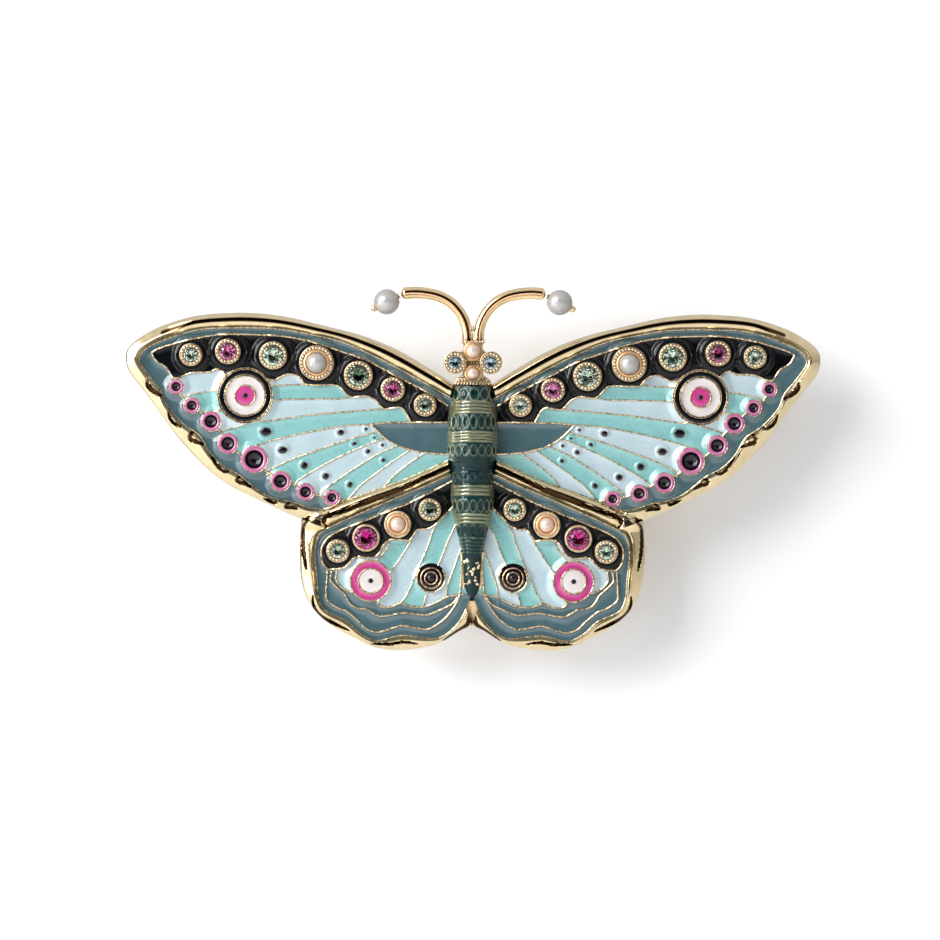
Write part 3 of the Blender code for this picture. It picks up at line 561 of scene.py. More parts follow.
def pearl_finish(name, colour, blush, green):
    """Imitation pearl: nacre that turns rose and faintly green towards its edge."""
    material, tree, shader = new_material(name)
    facing = tree.nodes.new("ShaderNodeLayerWeight")
    facing.inputs["Blend"].default_value = 0.45
    tint = ramp(tree, facing.outputs["Facing"], [(0.0, colour), (0.45, blush), (0.85, green)])
    cloud = ramp(tree, noise(tree, 1500, 3), [(0.3, grey(0.8)), (0.7, grey(1))])
    feed(tree, shader, {
        "Base Color": blend(tree, "MULTIPLY", 0.25, tint, cloud),
        "Roughness": 0.28,
        "Metallic": 0.25,
        "Coat Weight": 1.0,
        "Coat Roughness": 0.05,
        "Subsurface Weight": 0.1,
        "Subsurface Radius": (0.001, 0.0008, 0.0006),
        "Normal": bump(tree, noise(tree, 5200, 3), 0.08, 0.00001),
    })
    return material


def gem(name, colour):
    """Clear coloured glass whose facets are painted lighter or darker as painted light and shade, with a
    trace of dust on them.
    """
    material, tree, shader = new_material(name)
    # Painted light and shade: each facet's stored brightness, with a little noise, picks its tone.
    tone = arithmetic(tree, "MULTIPLY_ADD", noise(tree, 1600, 2), 0.3, attribute(tree, "facet_light"))
    deep = tuple(channel**3 * 0.1 for channel in colour)
    pale = tuple(channel**0.35 for channel in colour)
    tones = [(0.22, deep), (0.42, scaled(colour, 0.7)), (0.65, colour), (0.95, pale)]
    feed(tree, shader, {
        "Base Color": ramp(tree, tone, tones),
        "Roughness": ramp(tree, noise(tree, 9000, 4), [(0.55, grey(0.0)), (0.9, grey(0.12))]),
        "IOR": 1.62,
        "Transmission Weight": 1.0,
    })
    return material


def foil(name, colour):
    """The mirror foil behind a stone's pavilion, slightly crinkled."""
    material, tree, shader = new_material(name)
    feed(tree, shader, {
        "Base Color": ramp(tree, noise(tree, 2500, 3), [(0.3, scaled(colour, 0.7)), (0.7, colour)]),
        "Metallic": 1.0,
        "Roughness": 0.08,
        "Normal": bump(tree, noise(tree, 4000, 2), 0.2, 0.00001),
    })
    return material


def body_finish(name):
    """Dark teal translucent enamel over ribbed metal, which shows through, thin and olive, on each ridge."""
    material, tree, shader = new_material(name)
    mottle = noise(tree, 1100, 5, 0.65)
    height = arithmetic(tree, "MULTIPLY_ADD", mottle, 0.45, attribute(tree, "ridge"), clamp=True)
    tones = [
        (0.1, (0.001, 0.012, 0.014)), (0.42, (0.003, 0.032, 0.033)), (0.65, (0.04, 0.075, 0.055)),
        (0.95, (0.29, 0.29, 0.18)),
    ]
    feed(tree, shader, {
        "Base Color": ramp(tree, height, tones),
        "Metallic": ramp(tree, height, [(0.45, grey(0.0)), (0.95, grey(0.7))]),
        "Roughness": ramp(tree, noise(tree, 2600, 4), [(0.3, grey(0.12)), (0.8, grey(0.3))]),
        "Specular IOR Level": 0.04,
        "Coat Weight": 0.55,
        "Coat Roughness": 0.05,
        "Normal": bump(tree, height, 0.7, 0.00014),
    })
    return material


def paper(name, colour, glow):
    """Matt paper with a faint fibre, lit a little from within, and clear from behind."""
    material, tree, shader = new_material(name)
    feed(tree, shader, {
        "Base Color": ramp(tree, noise(tree, 60, 4), [(0.3, scaled(colour, 0.985)), (0.7, colour)]),
        "Roughness": 0.9,
        "Specular IOR Level": 0.1,
        "Emission Color": (1, 1, 1, 1),
        "Emission Strength": glow,
    })
    side = tree.nodes.new("ShaderNodeNewGeometry").outputs["Backfacing"]
    clear = tree.nodes.new("ShaderNodeBsdfTransparent").outputs["BSDF"]
    both = tree.nodes.new("ShaderNodeMixShader")
    feed(tree, both, {"Fac": side, 1: shader.outputs["BSDF"], 2: clear})
    feed(tree, tree.nodes["Material Output"], {"Surface": both.outputs["Shader"]})
    return material


MATERIALS = {
    "gold": gold("gilt_metal", (0.86, 0.70, 0.43), (0.05, 0.022, 0.008), 0.1, 0.18, 5200, 1.4, painted=True),
    "gold_wire": gold(
        "gilt_wire", (0.84, 0.66, 0.42), (0.05, 0.025, 0.012), 0.16, 0.32, 7000, 0.7,
        reach=0.0003, flecks=0.7,
    ),
    "gold_cup": gold(
        "gilt_beading", (0.98, 0.80, 0.54), (0.16, 0.07, 0.025), 0.26, 0.42, 6000, 0.5,
        reach=0.00016, flecks=0.5,
    ),
    "gold_tube": gold(
        "gilt_tube", (0.92, 0.70, 0.42), (0.05, 0.02, 0.008), 0.12, 0.24, 6000, 0.8,
        reach=0.0003, painted=True,
    ),
    "gold_seat": gold(
        "peach_gilt", (0.98, 0.60, 0.33), (0.30, 0.12, 0.04), 0.3, 0.42, 6000, 0.6, reach=0.0001
    ),
    "gold_back": gold("gilt_back", (0.84, 0.64, 0.38), (0.18, 0.10, 0.04), 0.2, 0.34, 4200, 1.2),
    "border": enamel("blue_grey_enamel", (0.062, 0.118, 0.138), (0.05, 0.10, 0.12), (0.078, 0.14, 0.16)),
    "aqua": enamel(
        "aqua_enamel", (0.21, 0.455, 0.45), (0.185, 0.42, 0.415), (0.245, 0.50, 0.495), rough=0.16, sub=0.1
    ),
    "white": enamel(
        "pearl_white_enamel", (0.425, 0.54, 0.585), (0.39, 0.51, 0.56), (0.47, 0.58, 0.62),
        rough=0.16, sub=0.1,
    ),
    "black": enamel(
        "black_enamel", (0.003, 0.004, 0.006), (0.002, 0.003, 0.004), (0.005, 0.006, 0.009),
        rough=0.08, coat=0.3, specular=0.15,
    ),
    "pink": enamel(
        "rose_enamel", (0.46, 0.12, 0.28), (0.38, 0.08, 0.23), (0.56, 0.20, 0.36), rough=0.14, sub=0.15
    ),
    "magenta": enamel(
        "magenta_enamel", (0.50, 0.05, 0.23), (0.42, 0.035, 0.19), (0.60, 0.10, 0.30), rough=0.12, sub=0.1
    ),
    "eye_white": enamel(
        "milk_enamel", (0.66, 0.61, 0.60), (0.60, 0.55, 0.55), (0.74, 0.69, 0.68), rough=0.16, sub=0.2
    ),
    "dark": enamel(
        "garnet_black_enamel", (0.010, 0.004, 0.010), (0.005, 0.002, 0.005), (0.02, 0.008, 0.018),
        rough=0.08, coat=0.4, specular=0.3,
    ),
    "body": body_finish("body_teal_enamel"),
    "pearl": pearl_finish("cream_pearl", (0.47, 0.46, 0.44), (0.37, 0.355, 0.34), (0.25, 0.24, 0.22)),
    "pearl_rose": pearl_finish("rose_pearl", (0.70, 0.58, 0.50), (0.66, 0.42, 0.28), (0.44, 0.24, 0.12)),
    "green_gem": gem("green_glass", (0.62, 0.82, 0.60)),
    "pink_gem": gem("pink_glass", (0.90, 0.13, 0.42)),
    "fuchsia_gem": gem("fuchsia_glass", (0.72, 0.02, 0.26)),
    "blue_gem": gem("blue_glass", (0.50, 0.76, 0.90)),
    "foil": foil("silver_foil", (0.85, 0.86, 0.84)),
}


# Rims


def rungs(inner, outer, count):
    """Pairs of points across a rim, from its outer edge to its inner one, that never cross."""
    inner = resample(inner, count)
    dense = resample(outer, count * 4)
    nearest = np.array([np.argmin(np.sum((dense - point) ** 2, axis=1)) for point in inner], float)
    nearest[0], nearest[-1] = 0, len(dense) - 1
    nearest = np.maximum.accumulate(nearest)
    width = max(3, count // 14)
    kernel = np.hanning(2 * width + 1)
    before = 2 * nearest[0] - nearest[width:0:-1]
    after = 2 * nearest[-1] - nearest[-2 : -width - 2 : -1]
    nearest = np.convolve(np.concatenate([before, nearest, after]), kernel / kernel.sum(), "valid")
    nearest[0], nearest[-1] = 0, len(dense) - 1
    places = np.arange(len(dense))
    outer = np.stack([np.interp(nearest, places, dense[:, k]) for k in (0, 1)], axis=1)
    return outer, inner


ACROSS = 0.5 - 0.5 * np.cos(np.linspace(0, math.pi, 29))


def roll(s):
    """Height of a plain rounded rim at s across it, 0 outside and 1 inside."""
    dome = np.maximum(0, 1 - np.abs((s - 0.5) / 0.5) ** 3) ** 0.45
    foot = np.where(s < 0.5, 1.0, LEVEL - 0.1)
    return foot + (RIM - foot) * dome


def ribbon(s):
    """Height of the hammered rim: a broad face that leans outwards, a crest, and a fall to the enamel."""
    wall = 1.0 + 1.25 * np.sqrt(np.clip(s / 0.14, 0, 1))
    lean = 0.95 * np.clip(s - 0.14, 0, 1)
    fall = LEVEL + 2.9 * (1 - s)
    crest = -np.log(np.exp(-14 * (2.25 + lean)) + np.exp(-14 * fall)) / 14
    return np.minimum(wall + lean, crest)


def nick_depth(places):
    """How far each point lies inside a nick of the rims, from 0 to 1."""
    depth = np.zeros(len(places))
    for line, half, taper in [*[(line, half, 1.0) for line, half in NICKS], (GROOVE, 0.27, 9.0)]:
        path = resample(smooth(line, 8), 60)
        away = np.linalg.norm(places[:, None] - path[None], axis=2)
        along = away.argmin(axis=1) / 59
        width = half * np.minimum(1, taper * np.sqrt(np.maximum(1e-3, 1 - (2 * along - 1) ** 2)))
        depth = np.maximum(depth, ease((1.15 - away.min(axis=1) / width) / 0.35))
    return depth


def section(outer, inner, hammered):
    """A closed section of a rim along one rung, given how hammered it is."""
    height = roll(ACROSS) * (1 - hammered) + ribbon(ACROSS) * hammered
    line = outer[None, :] + (inner - outer)[None, :] * ACROSS[:, None]
    height = height - NICK_DEPTH * nick_depth(line) * ease((height - 1.4) / 0.8)
    foot_out = (*outer, RIM_BACK)
    back_out = (*(outer + (inner - outer) * 0.12), 0.02)
    foot_in = (*inner, PLATE - 0.15)
    back_in = (*(inner + (outer - inner) * 0.1), 0.02)
    return np.concatenate([[back_out, foot_out], np.column_stack([line, height]), [foot_in, back_in]])


def rim(shape, inner, outer, count, style):
    """One rim lofted along its rungs. style gives, for each rung's place from 0 to 1, how hammered it is."""
    outer, inner = rungs(inner, outer, count)
    hammered = style(np.linspace(0, 1, count))
    grid = [section(*row) for row in zip(outer, inner, hammered)]
    shape.loft(grid, around=True, caps=True)
    return [points[2:-2] for points in grid]


def rims():
    """The rims of the right wings, and the line of (x, z) along the crest of the forewing's top one."""
    shape = Shape()
    border = smooth(FORE_RIM_OF_BORDER[:-1])
    fore = rim(shape, border, smooth(FORE_EDGE), 460, lambda t: ease((t - 0.46) / 0.05))
    ridge = rim(shape, smooth(FORE_RIM_OF_FIELD[::-1]), smooth(HIND_RIM_UPPER), 130, lambda t: t * 0)
    hind = rim(shape, smooth(HIND_RIM_LOWER), smooth(HIND_EDGE), 360, lambda t: ease(t / 0.03))
    junction(shape, fore[-1], hind[0], ridge[-1])
    crest = np.array([points[14, :2] for points in fore[4:236]])
    return shape, crest


def junction(shape, fore, hind, ridge):
    """The broad web where the three rims of a side meet: rings that shrink from their ends to its middle."""
    gap = resample([ridge[-1], fore[-1]], 6)[1:-1]
    loop = np.concatenate([fore[::-1], hind[1:], ridge[1:], gap])
    middle = np.array([*loop[:, :2].mean(axis=0), RIM - 0.1])
    rings = []
    for t in np.linspace(0, 1, 13)[:-1]:
        ring = loop + (middle - loop) * t
        ring[:, 2] = loop[:, 2] + (middle[2] - loop[:, 2]) * ease(t * 1.6)
        ring[:, 2] -= NICK_DEPTH * nick_depth(ring[:, :2]) * ease(t * 8) * ease((ring[:, 2] - 1.4) / 0.8)
        rings.append(ring)
    first = shape.count
    shape.loft(rings, around=True)
    count = len(loop)
    last = first + (len(rings) - 1) * count
    shape.add([middle], [])
    shape.faces.extend([(last + j, last + (j + 1) % count, shape.count - 1) for j in range(count)])


def paint(obj, name, value):
    """Store a number at each of an object's points for its finish. value takes rows of (x, z, h)."""
    mesh = obj.data
    points = np.empty(len(mesh.vertices) * 3)
    mesh.vertices.foreach_get("co", points)
    points = points.reshape(-1, 3) / MM
    places = np.column_stack([points[:, 0], points[:, 2], -points[:, 1]])
    mesh.attributes.new(name, "FLOAT", "POINT").data.foreach_set("value", value(places).astype(np.float32))


def painted_rim_shade(crest):
    """Painted shade in the nicks and the groove of the rims, and a painted dark reflection along the crest of
    the top ones.
    """
    tree = search_tree(crest)

    # Painted shade in the nicks and groove, and a painted dark reflection along the crest.
    def painted_shade(places):
        right = on_right(places)
        dark = np.concatenate([nick_depth(part) for part in np.array_split(right, 20)])
        dark = np.maximum(dark, ease((0.3 - distances(tree, right)) / 0.16))
        return dark * ease((places[:, 2] - 1.2) / 0.5)

    return painted_shade


def slab(shape, outline, middle, layers):
    """A flat piece whose outline shrinks towards its middle by a factor at each height of (factor, h)."""
    rings = [np.column_stack([middle + (outline - middle) * k, np.full(len(outline), h)]) for k, h in layers]
    shape.loft(rings, around=True, caps=True)


def plate():
    """The flat back of the casting, with a rounded back edge and a small plain tablet."""
    top = [(0.0, 9.4), (0.85, 9.4), (0.95, 6.5)]
    half = np.concatenate([top, smooth(FORE_EDGE, 6), smooth(HIND_EDGE, 6)[1:-1]])
    outline = np.concatenate([half, [(0.0, -21.9)], (half * (-1, 1))[::-1][:-1]])
    ahead = np.roll(outline, -1, axis=0) - np.roll(outline, 1, axis=0)
    ahead /= np.linalg.norm(ahead, axis=1)[:, None]
    inward = np.stack([ahead[:, 1], -ahead[:, 0]], axis=1)
    rings = []
    for depth, h in ((0.32, 0.0), (0.14, 0.05), (0.04, 0.16), (0.02, 0.35), (0.05, 1.0), (0.3, PLATE)):
        rings.append(np.column_stack([outline + inward * depth, np.full(len(outline), h)]))
    shape = Shape()
    shape.loft(rings, around=True, caps=True)
    middle = np.array([0.0, -12.5])
    angles = np.linspace(-math.pi / 2, 3 * math.pi / 2, 48, endpoint=False)
    tablet = middle + 2.0 * np.column_stack([np.sign(np.cos(angles) + 1e-9) + np.cos(angles), np.sin(angles)])
    slab(shape, tablet, middle, [(1.0, 0.1), (1.0, -0.18), (0.985, -0.25), (0.95, -0.29)])
    return shape


# Enamel


def stretched(line):
    """The line run on a little at both ends, so that it surely meets what it ends on, and under the body."""
    line = np.asarray(line, float)
    first, last = [
        end + (end - before) / np.linalg.norm(end - before) * (1.0 if end[0] < 3.2 else 0.3)
        for end, before in ((line[0], line[1]), (line[-1], line[-2]))
    ]
    return np.concatenate([[first], line, [last]])


def wing_lines(wing):
    """The lines that part a wing's enamels: (closed lines, open lines)."""
    closed = [circle(x, z, cup - CUP_OVERLAP, 40) for _, x, z, cup, _, _ in STONES[wing]]
    if wing == "fore":
        closed += [circle(*FORE_EYE, 72), *(circle(x, z, outer, 32) for x, z, outer, _ in DROPS)]
        band = [BAND_UPPER, BAND_TIP, BAND_LOWER_OUTER, BAND_LOWER_INNER]
        broad = [*band, BEAD_LINE, WEDGE_UPPER, WEDGE_LOWER]
        return closed, [smooth(line, 6) for line in [*broad, *FORE_VEINS]]
    closed += [circle(*HIND_EYE, 60), circle(*SPIRAL, 48)]
    broad = [HIND_BAND_UPPER, HIND_BAND_LOWER, HEM_OUTER, HEM_INNER, WAVE_UPPER, WAVE_LOWER]
    return closed, [smooth(line, 6) for line in [*broad, *HIND_VEINS]]


def holes(wing, overlap):
    """What stands in a wing's enamel: (x, z, radius). The enamel runs a little way under each cup."""
    found = [(x, z, cup - overlap) for _, x, z, cup, _, _ in STONES[wing]]
    if wing == "fore":
        return [*found, FORE_EYE, *((x, z, outer) for x, z, outer, _ in DROPS)]
    return [*found, HIND_EYE, SPIRAL]


def tray(wing):
    """The outline of the floor that holds a wing's enamel."""
    if wing == "fore":
        rim_line = np.concatenate([smooth(FORE_RIM_OF_BORDER, 6), smooth(FORE_RIM_OF_FIELD, 6)[1:]])
        return np.concatenate([rim_line, [(2.3, -2.3), (2.3, 4.9)]])
    rim_line = np.concatenate([smooth(HIND_RIM_UPPER, 6), smooth(HIND_RIM_LOWER, 6)[1:]])
    return np.concatenate([rim_line, [(0.25, -18.7), (0.6, -15.0), (1.6, -9.0), (2.0, -4.4)]])


def polygons(wing):
    """The broad areas of a wing's enamel, the first of which lie over the later ones."""
    if wing == "fore":
        lower = np.concatenate([smooth(BAND_LOWER_OUTER), smooth(BAND_LOWER_INNER)])
        band = np.concatenate([smooth(BAND_UPPER), smooth(BAND_TIP), lower, [(2.0, 2.1)]])
        wedge = np.concatenate([smooth(WEDGE_UPPER), smooth(WEDGE_LOWER)])
        field = np.concatenate([
            lower[::-1], smooth(BEAD_LINE), smooth(FORE_RIM_OF_FIELD), [(1.0, -2.0)],
            smooth(WEDGE_LOWER)[::-1], smooth(WEDGE_UPPER)[::-1][:17],
        ])
        return [("black", band), ("border", wedge), ("field", field)]
    band = np.concatenate([smooth(HIND_BAND_UPPER), smooth(HIND_BAND_LOWER)])
    hem = np.concatenate([smooth(HEM_OUTER), smooth(HEM_INNER)])
    field = np.concatenate([smooth(HIND_BAND_LOWER), [(0.2, -9.0), (0.2, -18.3)], hem[::-1]])
    return [("black", band), ("field", field)]


def grid_points(polygon, step):
    """A hexagonal grid of points inside a polygon."""
    low, high = polygon.min(axis=0), polygon.max(axis=0)
    rows = np.arange(low[1], high[1], step * 0.866)
    points = [
        (x, z) for i, z in enumerate(rows) for x in np.arange(low[0] + (i % 2) * step / 2, high[0], step)
    ]
    points = np.array(points)
    return points[inside(points, polygon)]


def cells(wing, step):
    """The wing's enamel: (points, triangles, each triangle's enamel, each point's distance to a line)."""
    closed, open_lines = wing_lines(wing)
    open_lines = [stretched(line) for line in open_lines]
    edge = tray(wing)
    points, edges = [], []
    loops = [edge, *closed]
    for number, line in enumerate([*loops, *open_lines]):
        first = len(points)
        points.extend(map(tuple, line))
        edges.extend((first + i, first + i + 1) for i in range(len(line) - 1))
        if number < len(loops):
            edges.append((first + len(line) - 1, first))
    joined = [np.concatenate([line, line[:1]]) for line in loops]
    dense = [resample(line, max(2, int(lengths(line)[-1] / 0.06))) for line in [*joined, *open_lines]]
    dense = np.concatenate(dense)
    tree = search_tree(dense)
    filler = grid_points(edge, step)
    for x, z, radius, reach, _, _ in swells(wing):
        away = np.hypot(filler[:, 0] - x, filler[:, 1] - z) - radius
        filler = filler[np.abs(away - reach / 2) > reach / 2 + 0.06]
    for x, z, radius, reach, _, _ in swells(wing):
        sides = int(9 * (radius + 1.2) / 0.45)
        rings = np.concatenate([circle(x, z, radius + reach * t, sides) for t in np.linspace(0.08, 1, 11)])
        filler = np.concatenate([filler, rings[inside(rings, edge)]])
    filler = filler[distances(tree, filler) > 0.05]
    points.extend(map(tuple, filler))
    found = delaunay_2d_cdt([Vector(p) for p in points], edges, [], 0, 1e-5)
    places = np.array(found[0])
    triangles = np.array(found[2])
    wall = {tuple(sorted(edge)) for edge, origin in zip(found[1], found[4]) if origin}
    label = flood(triangles, wall)
    return places, triangles, name_regions(wing, places, triangles, label), distances(tree, places)


def flood(triangles, wall):
    """A label for each triangle, shared with its neighbours unless a line parts them."""
    parent = list(range(len(triangles)))

    def root(i):
        while parent[i] != i:
            parent[i] = parent[parent[i]]
            i = parent[i]
        return i

    seen = {}
    for i, (a, b, c) in enumerate(triangles):
        for pair in ((a, b), (b, c), (c, a)):
            key = (min(pair), max(pair))
            if key in wall:
                continue
            if key in seen:
                parent[root(i)] = root(seen[key])
            else:
                seen[key] = i
    return np.array([root(i) for i in range(len(triangles))])


def name_regions(wing, places, triangles, label):
    """The enamel of each triangle's region, or an empty name where there is none."""
    corners = places[triangles]
    middles = corners.mean(axis=1)
    sizes = np.abs(np.cross(corners[:, 1] - corners[:, 0], corners[:, 2] - corners[:, 0]))
    kinds = np.full(len(triangles), "border", dtype=object)
    for name, polygon in reversed(polygons(wing)):
        kinds[inside(middles, polygon)] = name
    kinds[~inside(middles, tray(wing))] = ""
    for x, z, radius in holes(wing, CUP_OVERLAP):
        kinds[np.hypot(*(middles - (x, z)).T) < radius] = ""
    names = np.full(len(triangles), "", dtype=object)
    for region in np.unique(label):
        mine = label == region
        kind = max(set(kinds[mine]), key=lambda name: sizes[mine][kinds[mine] == name].sum())
        if kind == "field":
            seeds = FORE_CELLS if wing == "fore" else HIND_CELLS
            kind = min(seeds, key=lambda seed: np.min(np.hypot(*(middles[mine] - seed[0]).T)))[1]
        names[mine] = kind
    return names


# The swell round a cup: (place across it, share of its height).
COLLAR = smooth([
    (-0.2, 0.0), (0.0, 0.7), (0.22, 0.96), (0.42, 1.0), (0.62, 0.88), (0.86, 0.6), (1.0, 0.25), (1.06, 0.0),
])


def swells(wing):
    """Where the enamel swells: (x, z, radius of what stands there, reach, height, whether it is a collar)."""
    if wing == "fore":
        found = [(*FORE_EYE, 0.85, 0.26, False)]
        found += [(x, z, outer, 0.8, 0.24, False) for x, z, outer, _ in DROPS]
        found += [(x, z, wide, 0.45, 0.12, False) for x, z, wide, _ in SEEDS]
    else:
        found = [(*HIND_EYE, 0.85, 0.26, False), (*SPIRAL, 0.5, 0.15, False)]
    return found + [(x, z, cup - CUP_OVERLAP, 0.98, 0.62, True) for _, x, z, cup, _, _ in STONES[wing]]


def enamel_heights(wing, places, near):
    """Enamel climbs a little at each wire, and swells round each cup, drop, eye and dot."""
    height = LEVEL + 0.02 - 0.1 * (1 - np.exp(-near / 0.3))
    for x, z, radius, reach, rise, collar in swells(wing):
        t = (np.hypot(places[:, 0] - x, places[:, 1] - z) - radius) / reach
        if collar:
            height = np.maximum(height, LEVEL - 0.14 + rise * np.interp(t, *COLLAR.T, 0, 0))
        else:
            height = height + rise * ease(1 - t)
    return height


# Each enamel's slot, and the areas of the CAD's enamel that it stands for.
ENAMELS = {
    "border": ("border_enamel", ("border", "wedge")),
    "black": ("black_enamel", ("band",)),
    "aqua": ("field_enamel", ("field",)),
    "white": ("field_enamel", ()),
}


def enamels(wing):
    """The enamel of each kind in a wing: a solid from the tray's floor up to the glazed surface."""
    places, triangles, names, near = cells(wing, 0.2)
    height = enamel_heights(wing, places, near)
    tops = np.column_stack([places, height])
    floors = np.column_stack([places, np.full(len(places), ENAMEL_FLOOR)])
    for kind, (slot, areas) in ENAMELS.items():
        chosen = triangles[names == kind]
        used = {}
        for a, b, c in chosen:
            for pair in ((a, b), (b, c), (c, a)):
                used[pair] = used.get(pair, 0) + 1
        rim_edges = [pair for pair in used if (pair[1], pair[0]) not in used]
        n = len(places)
        faces = [tuple(t) for t in chosen] + [(c + n, b + n, a + n) for a, b, c in chosen]
        faces += [(b, a, a + n, b + n) for a, b in rim_edges]
        keep = sorted({i for face in faces for i in face})
        index = {old: new for new, old in enumerate(keep)}
        both = np.concatenate([tops, floors])[keep]
        for side, sign in SIDES.items():
            shape = Shape().add(both, [tuple(index[i] for i in face) for face in faces])
            nodes = [f"{wing}_enamel_{area}_{side}" for area in areas]
            nodes = [node for node in nodes if node in frame["nodes"]]
            build(f"{wing}_{kind}_enamel_{side}", shape, kind, replaces=nodes, side=sign, flat=65)


RANDOM = np.random.default_rng(7)


def clear_runs(wing, line):
    """The stretches of a line that lie outside the wing's cups, drops and eyes."""
    clear = np.all([np.hypot(*(line - (x, z)).T) > radius - 0.08 for x, z, radius in holes(wing, 0)], axis=0)
    breaks = np.flatnonzero(np.diff(clear.astype(int))) + 1
    starts = [0, *breaks]
    return [run for start, run in zip(starts, np.split(line, breaks)) if len(run) > 4 and clear[start]]


def wire(wing, shape, line, radius):
    """A cell wire lying on the enamel, a little uneven along its length as cast wires are."""
    line = resample(line, max(8, int(lengths(np.asarray(line, float))[-1] / 0.12)))
    for run in clear_runs(wing, line):
        count = len(run)
        wobble = np.convolve(RANDOM.normal(0, 1, count + 8), np.hanning(9) / 4, "valid")[:count]
        height = enamel_heights(wing, run, np.zeros(count))
        shape.tube(run, height + 0.02 + 0.012 * wobble, radius * (1 + 0.1 * wobble), 8)


def wires(wing):
    """All of a wing's cell wires, the ones between the broad enamels stouter than the veins."""
    shape = Shape()
    _, open_lines = wing_lines(wing)
    stout = len(open_lines) - len(FORE_VEINS if wing == "fore" else HIND_VEINS)
    for i, line in enumerate(open_lines):
        wire(wing, shape, line, 0.12 if i < stout else 0.085)
    edge = tray(wing)
    wire(wing, shape, edge[:-2] if wing == "fore" else edge[:-4], 0.1)
    return shape


# Settings, stones and eyes


def cup(shape, x, z, outer, inner, low, rim_height, pearl):
    """A cup with a slim rim and a ring of grains that hold the stone. A pearl sits in a cone inside them."""
    lip = inner + (0.3 if pearl else 0.04)
    profile = [
        (inner + 0.02, low + 0.4), (inner + 0.02, rim_height - 0.5), (lip, rim_height - 0.06),
        (outer - 0.14, rim_height - 0.06), (outer - 0.1, rim_height + 0.02), (outer - 0.04, rim_height),
        (outer, rim_height - 0.12), (outer, low), (inner + 0.02, low),
    ]
    shape.turn(profile, (x, z), 56, closed=True)
    grain = min(0.17, (outer - lip - 0.1) / 2)
    middle = (outer - 0.08 + lip) / 2
    number = int(2 * math.pi * middle / (2.3 * grain))
    angles = np.arange(number) * 2 * math.pi / number
    grains = [(x + middle * math.cos(a), z + middle * math.sin(a), rim_height - 0.03) for a in angles]
    shape.beads(grains, grain, 0.8)


def brilliant(radius, table, centre):
    """A round brilliant: table, star, kite and girdle facets above, and main and half facets below."""
    x, z = centre
    girdle = table - 0.34 * radius

    def ring(r, h, count, offset):
        angles = (np.arange(count) + offset) * 2 * math.pi / count
        return [(x + r * math.cos(a), z + r * math.sin(a), h) for a in angles]

    top = ring(radius * 0.56, table, 8, 0)
    star = ring(radius * 0.78, table - 0.15 * radius, 8, 0.5)
    edge = ring(radius, girdle, 16, 0)
    lower = ring(radius, girdle - 0.05 * radius, 16, 0)
    half = ring(radius * 0.5, girdle - 0.48 * radius, 8, 0.5)
    culet = [(x, z, girdle - 0.88 * radius)]
    points = top + star + edge + lower + half + culet
    faces = [tuple(range(8))]
    for i in range(8):
        j = (i + 1) % 8
        a, b, c = 16 + 2 * i, 16 + (2 * i + 1) % 16, 16 + (2 * i + 2) % 16
        faces += [(i, 8 + i, j), (i, a, 8 + i), (8 + i, c, j), (8 + i, a, b), (8 + i, b, c)]
        d, e, f = a + 16, b + 16, c + 16
        faces += [(a, d, e, b), (b, e, f, c), (d, 48 + i, e), (e, 48 + i, f)]
        k = (i - 1) % 8
        faces += [(d, 48 + k, 56, 48 + i)]
    return Shape().add(points, faces)


def sphere(radius, centre, rows=24, sides=40):
    angles = np.linspace(0, math.pi, rows + 1)
    profile = [(radius * math.sin(a), centre[2] + radius * math.cos(a)) for a in angles]
    return Shape().turn(profile, centre[:2], sides)


def stone(name, x, z, radius, table, kind, sign, node):
    """A faceted stone, each of its facets painted its own brightness as painted light and shade."""
    shape = brilliant(radius, table, (x, z))
    obj = build(name, shape, f"{kind}_gem", replaces=[node], side=sign, flat=0)
    # Painted light and shade: a random brightness for each facet.
    tones = RANDOM.random(len(obj.data.polygons)).astype(np.float32)
    obj.data.attributes.new("facet_light", "FLOAT", "FACE").data.foreach_set("value", tones)


def set_stones(wing):
    """A wing's cups, each with its stone over a foil or its pearl in a peach gilt seat."""
    pearl = "pearl_rose" if wing == "hind" else "pearl"
    for side, sign in SIDES.items():
        shape, seat = Shape(), Shape()
        for name, x, z, outer, inner, kind in STONES[wing]:
            cup(shape, x, z, outer, inner, PLATE - 0.1, CUP_TOP, kind == "pearl")
            node = f"{name}_{side}"
            if kind == "pearl":
                bead = sphere(inner, (x, z, 1.64 + inner))
                build(f"{node}_bead", bead, pearl, replaces=[node], side=sign)
                hoop(seat, x, z, inner + 0.12, 0.2, 3.0, 48)
            else:
                stone(f"{node}_stone", x, z, inner, STONE_TABLE, kind, sign, node)
                foil_cup(f"{node}_foil", x, z, inner, sign)
        build(f"{wing}_cups_{side}", shape, "gold_cup", side=sign)
        build(f"{wing}_pearl_seat_{side}", seat, "gold_seat", side=sign)


def foil_cup(name, x, z, radius, sign):
    """The foiled seat under a stone: a shallow faceted cone."""
    edge = STONE_TABLE - 0.5 * radius
    tip = STONE_TABLE - 1.36 * radius
    profile = [(radius * 0.97, edge), (radius + 0.03, edge), (radius + 0.03, 1.65), (0, 1.65), (0, tip)]
    shape = Shape().turn(profile, (x, z), 16, closed=True)
    build(name, shape, "foil", side=sign, flat=0)


def ring_solid(inner, outer, low, height, dome, steps=9):
    """Profile of a ring of enamel between two radii whose top is domed, or dished where dome is negative."""
    s = np.linspace(0, 1, steps)
    top = height + dome * (1 - (2 * s - 1) ** 2)
    radii = inner + (outer - inner) * s
    profile = list(zip(radii, top)) + [(outer, low)]
    return profile + ([(inner, low)] if inner > 0 else [(0, low)])


